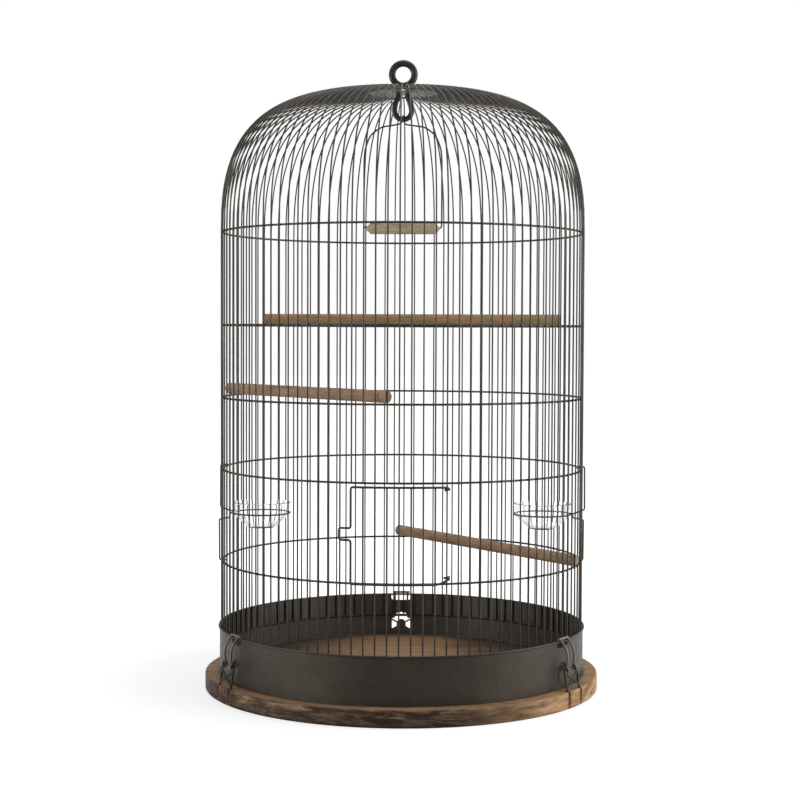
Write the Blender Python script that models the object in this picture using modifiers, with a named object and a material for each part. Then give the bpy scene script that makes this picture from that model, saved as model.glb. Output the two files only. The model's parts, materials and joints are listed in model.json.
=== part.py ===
"""A round domed bird cage: a wooden board, a sheet-metal skirt held down by three wire latches, a cage of
bars welded to five hoops, a front door, three perches, a swing and two glass bowls in wire holders.
Units are metres. +Z is up, the origin is at the middle of the board's underside, and -Y is the front."""

import bpy
import bmesh
from math import atan2, ceil, cos, pi, radians, sin, sqrt
from mathutils import Matrix, Vector

# Clearance between pieces that touch on the real cage
SEAT_GAP = 0.0003

# Board. Its margin is how far it reaches beyond the skirt
BOARD_MARGIN = 0.0176
BOARD_THICKNESS = 0.020
BOARD_EDGE_ROUND = 0.002
BOARD_SIDES = 80

# Bars and the dome that they bend into
BAR_COUNT = 104
BAR_RADIUS = 0.001
CAGE_RADIUS = 0.2203
BAR_FOOT_HEIGHT = 0.0475
DOME_START_HEIGHT = 0.5525
DOME_RISE = 0.17141
DOME_BREADTH_POWER = 3.5
DOME_HEIGHT_POWER = 2.6
DOME_STEPS = 6
HUB_RADIUS = 0.0406
PANEL_COUNT = 8

# Hoops inside the bars, from the floor up
HOOP_WIRE_RADIUS = 0.00125
HOOP_SEGMENTS = 52
LOWER_HOOP_HEIGHT = 0.1552
FEEDER_HOOP_HEIGHT = 0.2667
MIDDLE_HOOP_HEIGHT = 0.3534
UPPER_HOOP_HEIGHT = 0.4406
CROWN_HOOP_HEIGHT = 0.5529

# Skirt of sheet metal round the feet of the bars
SKIRT_TOP = 0.0766
SKIRT_SHEET = 0.0008
SKIRT_SIDES = 80
RIM_WIRE_RADIUS = 0.0013
NOTCH_WIDTH = 0.027
NOTCH_DEPTH = 0.009
NOTCH_CORNER = 0.004
SLOT_WIDTH = 0.0255
SLOT_BOTTOM = 0.0290
SLOT_TOP = 0.0508
TONGUE_WIDTH = 0.0125
TONGUE_TOP = 0.0415

# Wire latches that hold the skirt down on the board
LATCH_AZIMUTHS = {"right": 58.2, "back": 180.8, "left": -59.0}
LATCH_WIRE_RADIUS = 0.0013
ANCHOR_WIDTH = 0.030
ANCHOR_TOE_HEIGHT = 0.0068
ANCHOR_TOE_LENGTH = 0.006
CROSSBAR_HEIGHT = 0.0445
CROSSBAR_INSET = 0.0055
BRACE_FOOT = 0.0230
BRACE_TOP_SHARE = 0.88
GROOVE_CLEARANCE = 0.0004
GROOVE_FOOT = 0.0050
HOOK_WIDTH = 0.0170
HOOK_BAR_LENGTH = 0.0230
HOOK_BAR_RADIUS = 0.0014
HOOK_BULGE = 0.0052

# Front door between the lower hoop and the feeder hoop
DOOR_FIRST_BAR = -4
DOOR_HINGE_BAR = 4
DOOR_TOP_DROP = 0.0043
DOOR_WIRE_RADIUS = 0.0013
DOOR_RAIL_OFFSET = 0.0027
DOOR_EYE_RISE = 0.0050
DOOR_EYE_REACH = 0.0047
DOOR_CORNER = 0.004
DOOR_BAR_OFFSET = 0.0008
DOOR_CATCH_TOP = 0.2170
DOOR_CATCH_FOOT = 0.2038
STUB_DROP = 0.0016

# Perches: round rods that rest on a hoop. Each is named by the bars that its ends meet, counted
# round the cage from the front. A half means a place between two bars, where the end is notched.
PERCH_RADIUS = 0.007
PERCH_SIDES = 16
UPPER_PERCH_BARS = (33, 68)
MIDDLE_PERCH_BARS = (-29, -1)
LOWER_PERCH_BARS = (20, 52.5)
NOTCHED_END_SETBACK = 0.0012

# Hanger: a ring and a drop-shaped loop in one heavy wire, through a pierced plate. The rise and the
# depths are counted from the plate
RING_RISE = 0.0223
RING_RADIUS = 0.0136
RING_WIRE_RADIUS = 0.0041
DROP_WIRE_RADIUS = 0.00325
DROP_DEPTH = 0.0320
DROP_WAIST_DEPTH = 0.0193
DROP_HALF_WIDTH = 0.0104
DROP_NECK_HALF_WIDTH = 0.0060
PLATE_THICKNESS = 0.0012
PLATE_WINDOWS = 26
PLATE_BORDER = 0.0025
PLATE_BOSS_RADIUS = 0.0150

# Swing. Its shoulder's drop and its length are counted from the foot of the drop-shaped loop
SWING_WIRE_RADIUS = 0.0010
SWING_HALF_WIDTH = 0.0475
SWING_SHOULDER_DROP = 0.0072
SWING_SHOULDER_RADIUS = 0.026
SWING_LENGTH = 0.1324
SWING_PERCH_LENGTH = 0.0896
SWING_PERCH_TAPER = 0.0056
SWING_PERCH_TIP_RADIUS = 0.0026
SWING_TOE_LENGTH = 0.007

# Glass bowls in wire holders at the two sides. Their heights are counted from the holder's ring, and
# the ring's own height from the lower hoop
BOWL_DISTANCE = 0.1725
BOWL_RIM_RISE = 0.0135
BOWL_DEPTH = 0.0180
BOWL_RIM_RADIUS = 0.0352
BOWL_NECK_RADIUS = 0.0335
BOWL_FOOT_RADIUS = 0.0165
BOWL_WALL = 0.0025
BOWL_FLOOR = 0.003
BOWL_STEPS = 20
BOWL_AXIS_POINT = 6
HOLDER_WIRE_RADIUS = 0.001
HOLDER_RING_RISE = 0.0553
HOLDER_ARM_RISE = 0.0060
HOLDER_RETURN_DROP = 0.0055
HOLDER_STANDOFF = 0.0012
HOLDER_BULGE = 0.0003
HOLDER_RING_STEPS = 14

# Colours as linear RGB, with roughness and metallic
FINISHES = {
    "dark_metal": ((0.050, 0.042, 0.034), 0.45, 0.8),
    "skirt_metal": ((0.052, 0.043, 0.036), 0.5, 0.7),
    "board_wood": ((0.235, 0.150, 0.092), 0.7, 0.0),
    "perch_wood": ((0.175, 0.115, 0.070), 0.75, 0.0),
    "glass": ((0.85, 0.90, 0.90), 0.05, 0.0),
}

# Sizes that follow from those above
BAR_STEP = 2 * pi / BAR_COUNT
HOOP_RADIUS = CAGE_RADIUS - BAR_RADIUS - SEAT_GAP - HOOP_WIRE_RADIUS
HUB_HEIGHT = DOME_START_HEIGHT + DOME_RISE * (1 - (HUB_RADIUS / CAGE_RADIUS) ** DOME_BREADTH_POWER) ** (
    1 / DOME_HEIGHT_POWER
)
RING_CENTRE_HEIGHT = HUB_HEIGHT + RING_RISE
DROP_FOOT_HEIGHT = HUB_HEIGHT - DROP_DEPTH
DROP_WAIST_HEIGHT = HUB_HEIGHT - DROP_WAIST_DEPTH
SWING_SHOULDER_HEIGHT = DROP_FOOT_HEIGHT - SWING_SHOULDER_DROP
SWING_PERCH_HEIGHT = DROP_FOOT_HEIGHT - SWING_LENGTH
SKIRT_INNER_RADIUS = CAGE_RADIUS + BAR_RADIUS + SEAT_GAP
BOARD_RADIUS = SKIRT_INNER_RADIUS + SKIRT_SHEET + BOARD_MARGIN
RIM_WIRE_HEIGHT = SKIRT_TOP - RIM_WIRE_RADIUS
RIM_WIRE_CENTRE_RADIUS = SKIRT_INNER_RADIUS + RIM_WIRE_RADIUS
SHEET_TOP = RIM_WIRE_HEIGHT - RIM_WIRE_RADIUS - SEAT_GAP
HOLDER_RING_HEIGHT = LOWER_HOOP_HEIGHT + HOLDER_RING_RISE
BOWL_RIM_HEIGHT = HOLDER_RING_HEIGHT + BOWL_RIM_RISE
BOWL_FOOT_HEIGHT = HOLDER_RING_HEIGHT - BOWL_DEPTH
DOOR_RAIL_RADIUS = CAGE_RADIUS + DOOR_RAIL_OFFSET
DOOR_TOP = FEEDER_HOOP_HEIGHT - DOOR_TOP_DROP
PERCH_SEAT = HOOP_WIRE_RADIUS + SEAT_GAP + PERCH_RADIUS
BAR_CLEARANCE = BAR_RADIUS + SEAT_GAP


def start_scene():
    for old in list(bpy.data.objects):
        bpy.data.objects.remove(old)
    for name in ("bird_cage", "cutters"):
        collection = bpy.data.collections.new(name)
        bpy.context.scene.collection.children.link(collection)


def finish_material(name):
    """The Principled material of one finish, made once."""
    if name in bpy.data.materials:
        return bpy.data.materials[name]
    colour, roughness, metallic = FINISHES[name]
    material = bpy.data.materials.new(name)
    material.use_nodes = True
    shader = material.node_tree.nodes["Principled BSDF"]
    shader.inputs["Base Color"].default_value = (*colour, 1.0)
    shader.inputs["Roughness"].default_value = roughness
    shader.inputs["Metallic"].default_value = metallic
    shader.inputs["Transmission Weight"].default_value = 1.0 if name == "glass" else 0.0
    material.diffuse_color = (*colour, 1.0)
    return material


def add_object(name, data, finish):
    """A visible piece of the cage."""
    piece = bpy.data.objects.new(name, data)
    bpy.data.collections["bird_cage"].objects.link(piece)
    if not data.materials:
        data.materials.append(finish_material(finish))
    return piece


def add_helper(name, data):
    """A shape that cuts or joins a piece and isn't one itself."""
    helper = bpy.data.objects.new(name, data)
    bpy.data.collections["cutters"].objects.link(helper)
    helper.hide_render = True
    helper.display_type = "WIRE"
    return helper


def wire_curve(name, paths, radius, closed=False, resolution=0):
    """A curve with one round wire along each path of points."""
    curve = bpy.data.curves.new(name, "CURVE")
    curve.dimensions = "3D"
    curve.bevel_depth = radius
    curve.bevel_resolution = resolution
    curve.use_fill_caps = True
    for path in paths:
        spline = curve.splines.new("POLY")
        spline.points.add(len(path) - 1)
        for point, place in zip(spline.points, path):
            point.co = (*place, 1.0)
        spline.use_cyclic_u = closed
    return curve


def flat_curve(name, outline, thickness):
    """A flat outline in its own XY plane, thickened evenly both ways."""
    curve = bpy.data.curves.new(name, "CURVE")
    curve.dimensions = "2D"
    curve.fill_mode = "BOTH"
    curve.extrude = thickness / 2
    spline = curve.splines.new("POLY")
    spline.points.add(len(outline) - 1)
    for point, (across, up) in zip(spline.points, outline):
        point.co = (across, up, 0.0, 1.0)
    spline.use_cyclic_u = True
    return curve


def mesh_of(data, matrix=None):
    """The welded mesh of a curve, with its place applied."""
    holder = bpy.data.objects.new(data.name, data)
    bpy.context.scene.collection.objects.link(holder)
    graph = bpy.context.evaluated_depsgraph_get()
    mesh = bpy.data.meshes.new_from_object(holder.evaluated_get(graph))
    bpy.data.objects.remove(holder)
    work = bmesh.new()
    work.from_mesh(mesh)
    bmesh.ops.remove_doubles(work, verts=work.verts, dist=1e-6)
    bmesh.ops.recalc_face_normals(work, faces=work.faces)
    work.to_mesh(mesh)
    work.free()
    if matrix is not None:
        mesh.transform(matrix)
    return mesh


def join_meshes(name, meshes):
    """One mesh that holds several closed shapes."""
    work = bmesh.new()
    for mesh in meshes:
        work.from_mesh(mesh)
    joined = bpy.data.meshes.new(name)
    work.to_mesh(joined)
    work.free()
    return joined


def with_boolean(piece, helper, operation):
    modifier = piece.modifiers.new(operation.title(), "BOOLEAN")
    modifier.operation = operation
    modifier.object = helper
    modifier.solver = "EXACT"


def evaluated_mesh(piece):
    """A piece's mesh with its modifiers applied."""
    graph = bpy.context.evaluated_depsgraph_get()
    return bpy.data.meshes.new_from_object(piece.evaluated_get(graph))


def smooth(mesh, angle=40):
    mesh.shade_smooth()
    mesh.set_sharp_from_angle(angle=radians(angle))


def polar(radius, azimuth, height):
    """A point at an azimuth in radians, counted from the front towards +X."""
    return Vector((radius * sin(azimuth), -radius * cos(azimuth), height))


def at_azimuth(azimuth):
    """Turns a piece built at the front, with -Y outwards, to an azimuth in radians."""
    return Matrix.Rotation(azimuth, 4, "Z")


def arc_points(radius, start, end, height, steps):
    return [polar(radius, start + (end - start) * step / steps, height) for step in range(steps + 1)]


def rounded_corner(before, corner, after, reach):
    """Three points that round one corner of a wire."""
    first = corner + (before - corner).normalized() * reach
    last = corner + (after - corner).normalized() * reach
    middle = (first + last) / 4 + corner / 2
    return [first, middle, last]


def dome_profile():
    """(radius, height) pairs up the dome, from the top of the straight bars to the hub."""
    ratio = (HUB_RADIUS / CAGE_RADIUS) ** DOME_BREADTH_POWER
    end = atan2(sqrt(1 - ratio), sqrt(ratio))
    profile = []
    for step in range(DOME_STEPS + 1):
        angle = end * step / DOME_STEPS
        radius = CAGE_RADIUS * max(cos(angle), 0.0) ** (2 / DOME_BREADTH_POWER)
        height = DOME_START_HEIGHT + DOME_RISE * sin(angle) ** (2 / DOME_HEIGHT_POWER)
        profile.append((radius, height))
    return profile


def bar_paths(bar):
    """The one or two wires at a bar's place: the door leaves out the middle of its bars."""
    azimuth = bar * BAR_STEP
    dome = [polar(radius, azimuth, height) for radius, height in dome_profile()]
    foot = polar(CAGE_RADIUS, azimuth, BAR_FOOT_HEIGHT)
    if not DOOR_FIRST_BAR <= bar < DOOR_HINGE_BAR:
        return [[foot] + dome]
    stub_top = polar(CAGE_RADIUS, azimuth, LOWER_HOOP_HEIGHT - STUB_DROP)
    lintel = polar(CAGE_RADIUS, azimuth, FEEDER_HOOP_HEIGHT - HOOP_WIRE_RADIUS)
    return [[foot, stub_top], [lintel] + dome]


def panel_mesh(name, bars):
    """One sector of the cage: its bars, welded to a piece of the foot hoop and of the hub ring."""
    half = len(bars) / 2 * BAR_STEP
    steps = ceil(len(bars) / 2)
    foot_half = half - SEAT_GAP / 2 / CAGE_RADIUS
    hub_half = half - SEAT_GAP / 2 / HUB_RADIUS
    arcs = [
        arc_points(CAGE_RADIUS, -foot_half, foot_half, BAR_FOOT_HEIGHT, steps),
        arc_points(HUB_RADIUS, -hub_half, hub_half, HUB_HEIGHT, steps),
    ]
    paths = [path for bar in bars for path in bar_paths(bar)]
    frame = add_helper(name + "_arcs", mesh_of(wire_curve(name + "_arcs", arcs, HOOP_WIRE_RADIUS)))
    wires = add_helper(name + "_wires", mesh_of(wire_curve(name + "_wires", paths, BAR_RADIUS)))
    with_boolean(frame, wires, "UNION")
    mesh = evaluated_mesh(frame)
    mesh.name = name
    return mesh


def make_bars():
    """The bars in equal sectors. Only the front one is broken by the door."""
    size = BAR_COUNT // PANEL_COUNT
    near = list(range(-(size // 2), size - size // 2))
    names = ("front", "front_right", "right", "back_right", "back", "back_left", "left", "front_left")
    add_object("bars_front", panel_mesh("bars_front", near), "dark_metal")
    # A full sector has the same bars as one that is turned away from the door
    plain = panel_mesh("bars_plain", [bar + BAR_COUNT for bar in near])
    for place, name in enumerate(names[1:], start=1):
        panel = add_object("bars_" + name, plain, "dark_metal")
        panel.matrix_world = at_azimuth(2 * pi * place / PANEL_COUNT)


def make_hoops():
    heights = {
        "lower_hoop": LOWER_HOOP_HEIGHT,
        "feeder_hoop": FEEDER_HOOP_HEIGHT,
        "middle_hoop": MIDDLE_HOOP_HEIGHT,
        "upper_hoop": UPPER_HOOP_HEIGHT,
        "crown_hoop": CROWN_HOOP_HEIGHT,
    }
    for name, height in heights.items():
        ring = arc_points(HOOP_RADIUS, 0, 2 * pi, height, HOOP_SEGMENTS)[:-1]
        add_object(name, wire_curve(name, [ring], HOOP_WIRE_RADIUS, closed=True), "dark_metal")


def make_board():
    """The round wooden base, grooved at its edge for the feet of the latches."""
    work = bmesh.new()
    bmesh.ops.create_cone(
        work,
        cap_ends=True,
        segments=BOARD_SIDES,
        radius1=BOARD_RADIUS,
        radius2=BOARD_RADIUS,
        depth=BOARD_THICKNESS,
        matrix=Matrix.Translation((0, 0, BOARD_THICKNESS / 2)),
    )
    mesh = bpy.data.meshes.new("base_board")
    work.to_mesh(mesh)
    work.free()
    board = add_object("base_board", mesh, "board_wood")
    rounding = board.modifiers.new("Edge", "BEVEL")
    rounding.width = BOARD_EDGE_ROUND
    rounding.segments = 2
    rounding.limit_method = "ANGLE"
    rounding.angle_limit = radians(60)
    reach = LATCH_WIRE_RADIUS + GROOVE_CLEARANCE
    leg = BOARD_RADIUS - SEAT_GAP - LATCH_WIRE_RADIUS
    toe = leg - ANCHOR_TOE_LENGTH
    outside = BOARD_RADIUS + BOARD_EDGE_ROUND
    # The groove's outline in the plane of a leg, with X inwards from the edge
    outline = [
        (-outside, GROOVE_FOOT),
        (-toe + reach, GROOVE_FOOT),
        (-toe + reach, ANCHOR_TOE_HEIGHT + reach),
        (-leg + reach, ANCHOR_TOE_HEIGHT + reach),
        (-leg + reach, BOARD_THICKNESS / 2),
        (-leg + reach + groove_lean(), BOARD_THICKNESS + SEAT_GAP),
        (-outside, BOARD_THICKNESS + SEAT_GAP),
    ]
    upright = Matrix(((0, 0, 1, 0), (1, 0, 0, 0), (0, 1, 0, 0), (0, 0, 0, 1)))
    grooves = []
    for azimuth in LATCH_AZIMUTHS.values():
        for side in (-1, 1):
            place = at_azimuth(radians(azimuth)) @ Matrix.Translation((side * ANCHOR_WIDTH / 2, 0, 0)) @ upright
            grooves.append(mesh_of(flat_curve("groove", outline, 2 * reach), place))
    with_boolean(board, add_helper("board_grooves", join_meshes("board_grooves", grooves)), "DIFFERENCE")
    return board


def leg_points(side):
    """One leg of an anchor, from the toe in the board to the crossbar, built at the front."""
    across = side * ANCHOR_WIDTH / 2
    leg = BOARD_RADIUS - SEAT_GAP - LATCH_WIRE_RADIUS
    toe = Vector((across, -(leg - ANCHOR_TOE_LENGTH), ANCHOR_TOE_HEIGHT))
    heel = Vector((across, -leg, ANCHOR_TOE_HEIGHT))
    edge = Vector((across, -leg, BOARD_THICKNESS / 2))
    top = Vector((across, -(leg - CROSSBAR_INSET), CROSSBAR_HEIGHT))
    return toe, heel, edge, top


def groove_lean():
    """How far a leg leans inwards between the middle of the board and its top."""
    lean = CROSSBAR_INSET / (CROSSBAR_HEIGHT - BOARD_THICKNESS / 2)
    return lean * BOARD_THICKNESS / 2


def make_anchors():
    """The fixed wires of the latches, with their toes in the board and a crossed brace."""
    left = leg_points(-1)
    right = leg_points(1)
    outline = [*left[:3], *rounded_corner(left[2], left[3], right[3], 0.003)]
    outline += [*rounded_corner(left[3], right[3], right[2], 0.003), *reversed(right[:3])]
    braces = []
    # One brace lies a little in front of the other, as crossing wires do
    for start, end, ahead in ((left, right, 0.0), (right, left, LATCH_WIRE_RADIUS * 0.45)):
        share = (BRACE_FOOT - start[2].z) / (start[3].z - start[2].z)
        shift = Vector((0, -ahead, 0))
        braces.append([start[2].lerp(start[3], share) + shift, end[2].lerp(end[3], BRACE_TOP_SHARE) + shift])
    frame = add_helper("anchor_frame", mesh_of(wire_curve("anchor_frame", [outline], LATCH_WIRE_RADIUS)))
    cross = add_helper("anchor_braces", mesh_of(wire_curve("anchor_braces", braces[:1], LATCH_WIRE_RADIUS * 0.8)))
    other = add_helper("anchor_brace", mesh_of(wire_curve("anchor_brace", braces[1:], LATCH_WIRE_RADIUS * 0.8)))
    with_boolean(frame, cross, "UNION")
    with_boolean(frame, other, "UNION")
    mesh = evaluated_mesh(frame)
    for name, azimuth in LATCH_AZIMUTHS.items():
        anchor = add_object("latch_anchor_" + name, mesh, "dark_metal")
        anchor.matrix_world = at_azimuth(radians(azimuth))


def make_hooks():
    """The swinging loops of the latches: two wires from the crossbar up to a bar over the rim wire."""
    pivot = leg_points(1)[3]
    eye_radius = 2 * LATCH_WIRE_RADIUS + SEAT_GAP
    bar_height = RIM_WIRE_HEIGHT + RIM_WIRE_RADIUS + SEAT_GAP + HOOK_BAR_RADIUS
    bar_depth = -(SKIRT_INNER_RADIUS + HOOK_BAR_RADIUS)
    top = Vector((0, bar_depth - pivot.y, bar_height - pivot.z))
    bulge = Vector((0, -top.z, top.y)).normalized() * HOOK_BULGE
    bar = [Vector((side * HOOK_BAR_LENGTH / 2, top.y, top.z)) for side in (-1, 1)]
    wires = []
    eyes = []
    for side in (-1, 1):
        across = Vector((side * HOOK_WIDTH / 2, 0, 0))
        foot = top.normalized() * eye_radius
        wires.append([across + foot + (top - foot) * t + bulge * 4 * t * (1 - t) for t in (0, 0.25, 0.5, 0.75, 1)])
        angles = [2 * pi * step / 8 for step in range(8)]
        eyes.append([across + Vector((0, eye_radius * cos(turn), eye_radius * sin(turn))) for turn in angles])
    frame = add_helper("hook_bar", mesh_of(wire_curve("hook_bar", [bar], HOOK_BAR_RADIUS, resolution=1)))
    loops = add_helper("hook_eyes", mesh_of(wire_curve("hook_eyes", eyes, LATCH_WIRE_RADIUS, closed=True)))
    sides = add_helper("hook_wires", mesh_of(wire_curve("hook_wires", wires, LATCH_WIRE_RADIUS)))
    with_boolean(frame, sides, "UNION")
    with_boolean(frame, loops, "UNION")
    mesh = evaluated_mesh(frame)
    for name, azimuth in LATCH_AZIMUTHS.items():
        hook = add_object("latch_hook_" + name, mesh, "dark_metal")
        hook.matrix_world = at_azimuth(radians(azimuth)) @ Matrix.Translation((0, pivot.y, pivot.z))


def slot_outline():
    """The arched slot in the skirt, with a round-topped tongue left standing in it."""
    outer = SLOT_WIDTH / 2
    inner = TONGUE_WIDTH / 2
    outline = [(inner, SLOT_BOTTOM), (outer, SLOT_BOTTOM)]
    for step in range(7):
        turn = pi * step / 6
        outline.append((outer * cos(turn), SLOT_TOP - outer + outer * sin(turn)))
    outline += [(-outer, SLOT_BOTTOM), (-inner, SLOT_BOTTOM)]
    for step in range(5):
        turn = pi - pi * step / 4
        outline.append((inner * cos(turn), TONGUE_TOP - inner + inner * sin(turn)))
    return outline


def notch_outline():
    """The notch in the skirt's rim, with rounded lower corners."""
    half = NOTCH_WIDTH / 2
    foot = SKIRT_TOP - NOTCH_DEPTH
    outline = [(half, SKIRT_TOP), (-half, SKIRT_TOP)]
    for centre, first in ((-half + NOTCH_CORNER, pi), (half - NOTCH_CORNER, 1.5 * pi)):
        for step in range(4):
            turn = first + pi / 2 * step / 3
            outline.append((centre + NOTCH_CORNER * cos(turn), foot + NOTCH_CORNER * (1 + sin(turn))))
    return outline


def make_skirt():
    """The band of sheet metal round the foot of the cage, notched and slotted at each latch."""
    apothem = cos(pi / SKIRT_SIDES)
    profile = [(SKIRT_INNER_RADIUS / apothem, SHEET_TOP), (SKIRT_INNER_RADIUS / apothem, BOARD_THICKNESS + SEAT_GAP)]
    mesh = bpy.data.meshes.new("skirt_band")
    mesh.from_pydata([(radius, 0, height) for radius, height in profile], [(0, 1)], [])
    skirt = add_object("skirt_band", mesh, "skirt_metal")
    turn = skirt.modifiers.new("Turn", "SCREW")
    turn.steps = SKIRT_SIDES
    turn.render_steps = SKIRT_SIDES
    turn.use_merge_vertices = True
    turn.merge_threshold = 0.0001
    sheet = skirt.modifiers.new("Sheet", "SOLIDIFY")
    sheet.thickness = SKIRT_SHEET
    sheet.offset = 1
    reach = 0.02
    facing = Matrix(((1, 0, 0, 0), (0, 0, -1, -CAGE_RADIUS), (0, 1, 0, 0), (0, 0, 0, 1)))
    cuts = []
    for azimuth in LATCH_AZIMUTHS.values():
        place = at_azimuth(radians(azimuth)) @ facing
        cuts.append(mesh_of(flat_curve("notch", notch_outline(), reach), place))
        cuts.append(mesh_of(flat_curve("slot", slot_outline(), reach), place))
    with_boolean(skirt, add_helper("skirt_cuts", join_meshes("skirt_cuts", cuts)), "DIFFERENCE")
    ring = arc_points(RIM_WIRE_CENTRE_RADIUS / cos(pi / SKIRT_SIDES), 0, 2 * pi, RIM_WIRE_HEIGHT, SKIRT_SIDES)[:-1]
    add_object("rim_wire", wire_curve("rim_wire", [ring], RIM_WIRE_RADIUS, closed=True), "skirt_metal")


def make_door():
    """The curved wire door. Its rails end in eyes round the hinge bar."""
    hinge = polar(CAGE_RADIUS, DOOR_HINGE_BAR * BAR_STEP, 0)
    first = DOOR_FIRST_BAR * BAR_STEP
    catch = first - BAR_STEP
    last = DOOR_HINGE_BAR * BAR_STEP - DOOR_EYE_REACH / DOOR_RAIL_RADIUS
    steps = DOOR_HINGE_BAR - DOOR_FIRST_BAR
    foot = LOWER_HOOP_HEIGHT
    eye_height = foot + DOOR_EYE_RISE
    top_rail = arc_points(DOOR_RAIL_RADIUS, DOOR_HINGE_BAR * BAR_STEP, first, DOOR_TOP, steps)
    foot_rail = arc_points(DOOR_RAIL_RADIUS, first, last, foot, steps)
    corner_up = polar(DOOR_RAIL_RADIUS, first, DOOR_TOP)
    corner_down = polar(DOOR_RAIL_RADIUS, first, foot)
    frame = top_rail[:-1]
    frame += rounded_corner(top_rail[-2], corner_up, corner_down, DOOR_CORNER)
    frame += [polar(DOOR_RAIL_RADIUS, first, DOOR_CATCH_TOP), polar(DOOR_RAIL_RADIUS, catch, DOOR_CATCH_TOP)]
    frame += [polar(DOOR_RAIL_RADIUS, catch, DOOR_CATCH_FOOT), polar(DOOR_RAIL_RADIUS, first, DOOR_CATCH_FOOT)]
    frame += rounded_corner(corner_up, corner_down, foot_rail[1], DOOR_CORNER)
    frame += foot_rail[1:]
    frame += [polar(DOOR_RAIL_RADIUS, last, eye_height), polar(DOOR_RAIL_RADIUS, DOOR_HINGE_BAR * BAR_STEP, eye_height)]
    eyes = []
    for height in (DOOR_TOP, eye_height):
        angles = [2 * pi * (step + 0.5) / 8 + DOOR_HINGE_BAR * BAR_STEP for step in range(8)]
        eyes.append([hinge + polar(DOOR_RAIL_OFFSET, angle, height) for angle in angles])
    # The welded bars run on past the middle of both rails
    overrun = BAR_RADIUS * 0.4
    bars = []
    for bar in range(DOOR_FIRST_BAR + 1, DOOR_HINGE_BAR):
        azimuth = bar * BAR_STEP
        radius = CAGE_RADIUS + DOOR_BAR_OFFSET
        bars.append([polar(radius, azimuth, foot - overrun), polar(radius, azimuth, DOOR_TOP + overrun)])
    outline = add_helper("door_frame", mesh_of(wire_curve("door_frame", [frame], DOOR_WIRE_RADIUS)))
    loops = add_helper("door_eyes", mesh_of(wire_curve("door_eyes", eyes, DOOR_WIRE_RADIUS, closed=True)))
    wires = add_helper("door_bars", mesh_of(wire_curve("door_bars", bars, BAR_RADIUS)))
    with_boolean(outline, wires, "UNION")
    with_boolean(outline, loops, "UNION")
    mesh = evaluated_mesh(outline)
    mesh.transform(Matrix.Translation(-hinge))
    door = add_object("front_door", mesh, "dark_metal")
    door.location = hinge


def rod_mesh(name, length, radius, taper=0.0, tip_radius=0.0):
    """A round rod along X. taper is the length of each of its cone-shaped ends."""
    work = bmesh.new()
    bmesh.ops.create_cone(
        work,
        cap_ends=True,
        segments=PERCH_SIDES,
        radius1=radius,
        radius2=radius,
        depth=length - 2 * taper,
        matrix=Matrix.Rotation(pi / 2, 4, "Y"),
    )
    for side in (-1, 1) if taper else ():
        cap = [face for face in work.faces if face.normal.x * side > 0.9]
        moved = bmesh.ops.extrude_face_region(work, geom=cap)["geom"]
        rim = [part for part in moved if isinstance(part, bmesh.types.BMVert)]
        bmesh.ops.delete(work, geom=cap, context="FACES_ONLY")
        bmesh.ops.scale(work, vec=(1, tip_radius / radius, tip_radius / radius), verts=rim)
        bmesh.ops.translate(work, vec=(side * taper, 0, 0), verts=rim)
    mesh = bpy.data.meshes.new(name)
    work.to_mesh(mesh)
    work.free()
    smooth(mesh)
    return mesh


def make_perch(name, bars, hoop_height):
    """A rod across the cage. An end at a whole number butts against that bar."""
    first, last = bars
    middle = (first + last) / 2 * BAR_STEP
    half_angle = (last - first) / 2 * BAR_STEP
    offset = CAGE_RADIUS * cos(half_angle)
    reach = CAGE_RADIUS * sin(half_angle)
    notched = last != int(last)
    near_end = -reach + BAR_CLEARANCE
    far_end = reach - (NOTCHED_END_SETBACK if notched else BAR_CLEARANCE)
    mesh = rod_mesh(name, far_end - near_end, PERCH_RADIUS)
    mesh.transform(Matrix.Translation(((near_end + far_end) / 2, 0, 0)))
    perch = add_object(name, mesh, "perch_wood")
    perch.matrix_world = Matrix.Translation(polar(offset, middle, hoop_height + PERCH_SEAT)) @ at_azimuth(middle)
    if not notched:
        return
    # The bar just before the end takes a step out of the rod's outer side
    bar_angle = half_angle - BAR_STEP / 2
    step_back = CAGE_RADIUS * sin(bar_angle) - BAR_CLEARANCE
    step_out = CAGE_RADIUS * cos(bar_angle) - offset - BAR_CLEARANCE
    outline = [(step_back, -3 * PERCH_RADIUS), (far_end + PERCH_RADIUS, -3 * PERCH_RADIUS)]
    outline += [(far_end + PERCH_RADIUS, -step_out), (step_back, -step_out)]
    notch = add_helper(name + "_notch", mesh_of(flat_curve(name + "_notch", outline, 4 * PERCH_RADIUS)))
    notch.matrix_world = perch.matrix_world
    with_boolean(perch, notch, "DIFFERENCE")


def make_perches():
    make_perch("upper_perch", UPPER_PERCH_BARS, UPPER_HOOP_HEIGHT)
    make_perch("middle_perch", MIDDLE_PERCH_BARS, MIDDLE_HOOP_HEIGHT)
    make_perch("lower_perch", LOWER_PERCH_BARS, LOWER_HOOP_HEIGHT)


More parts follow.
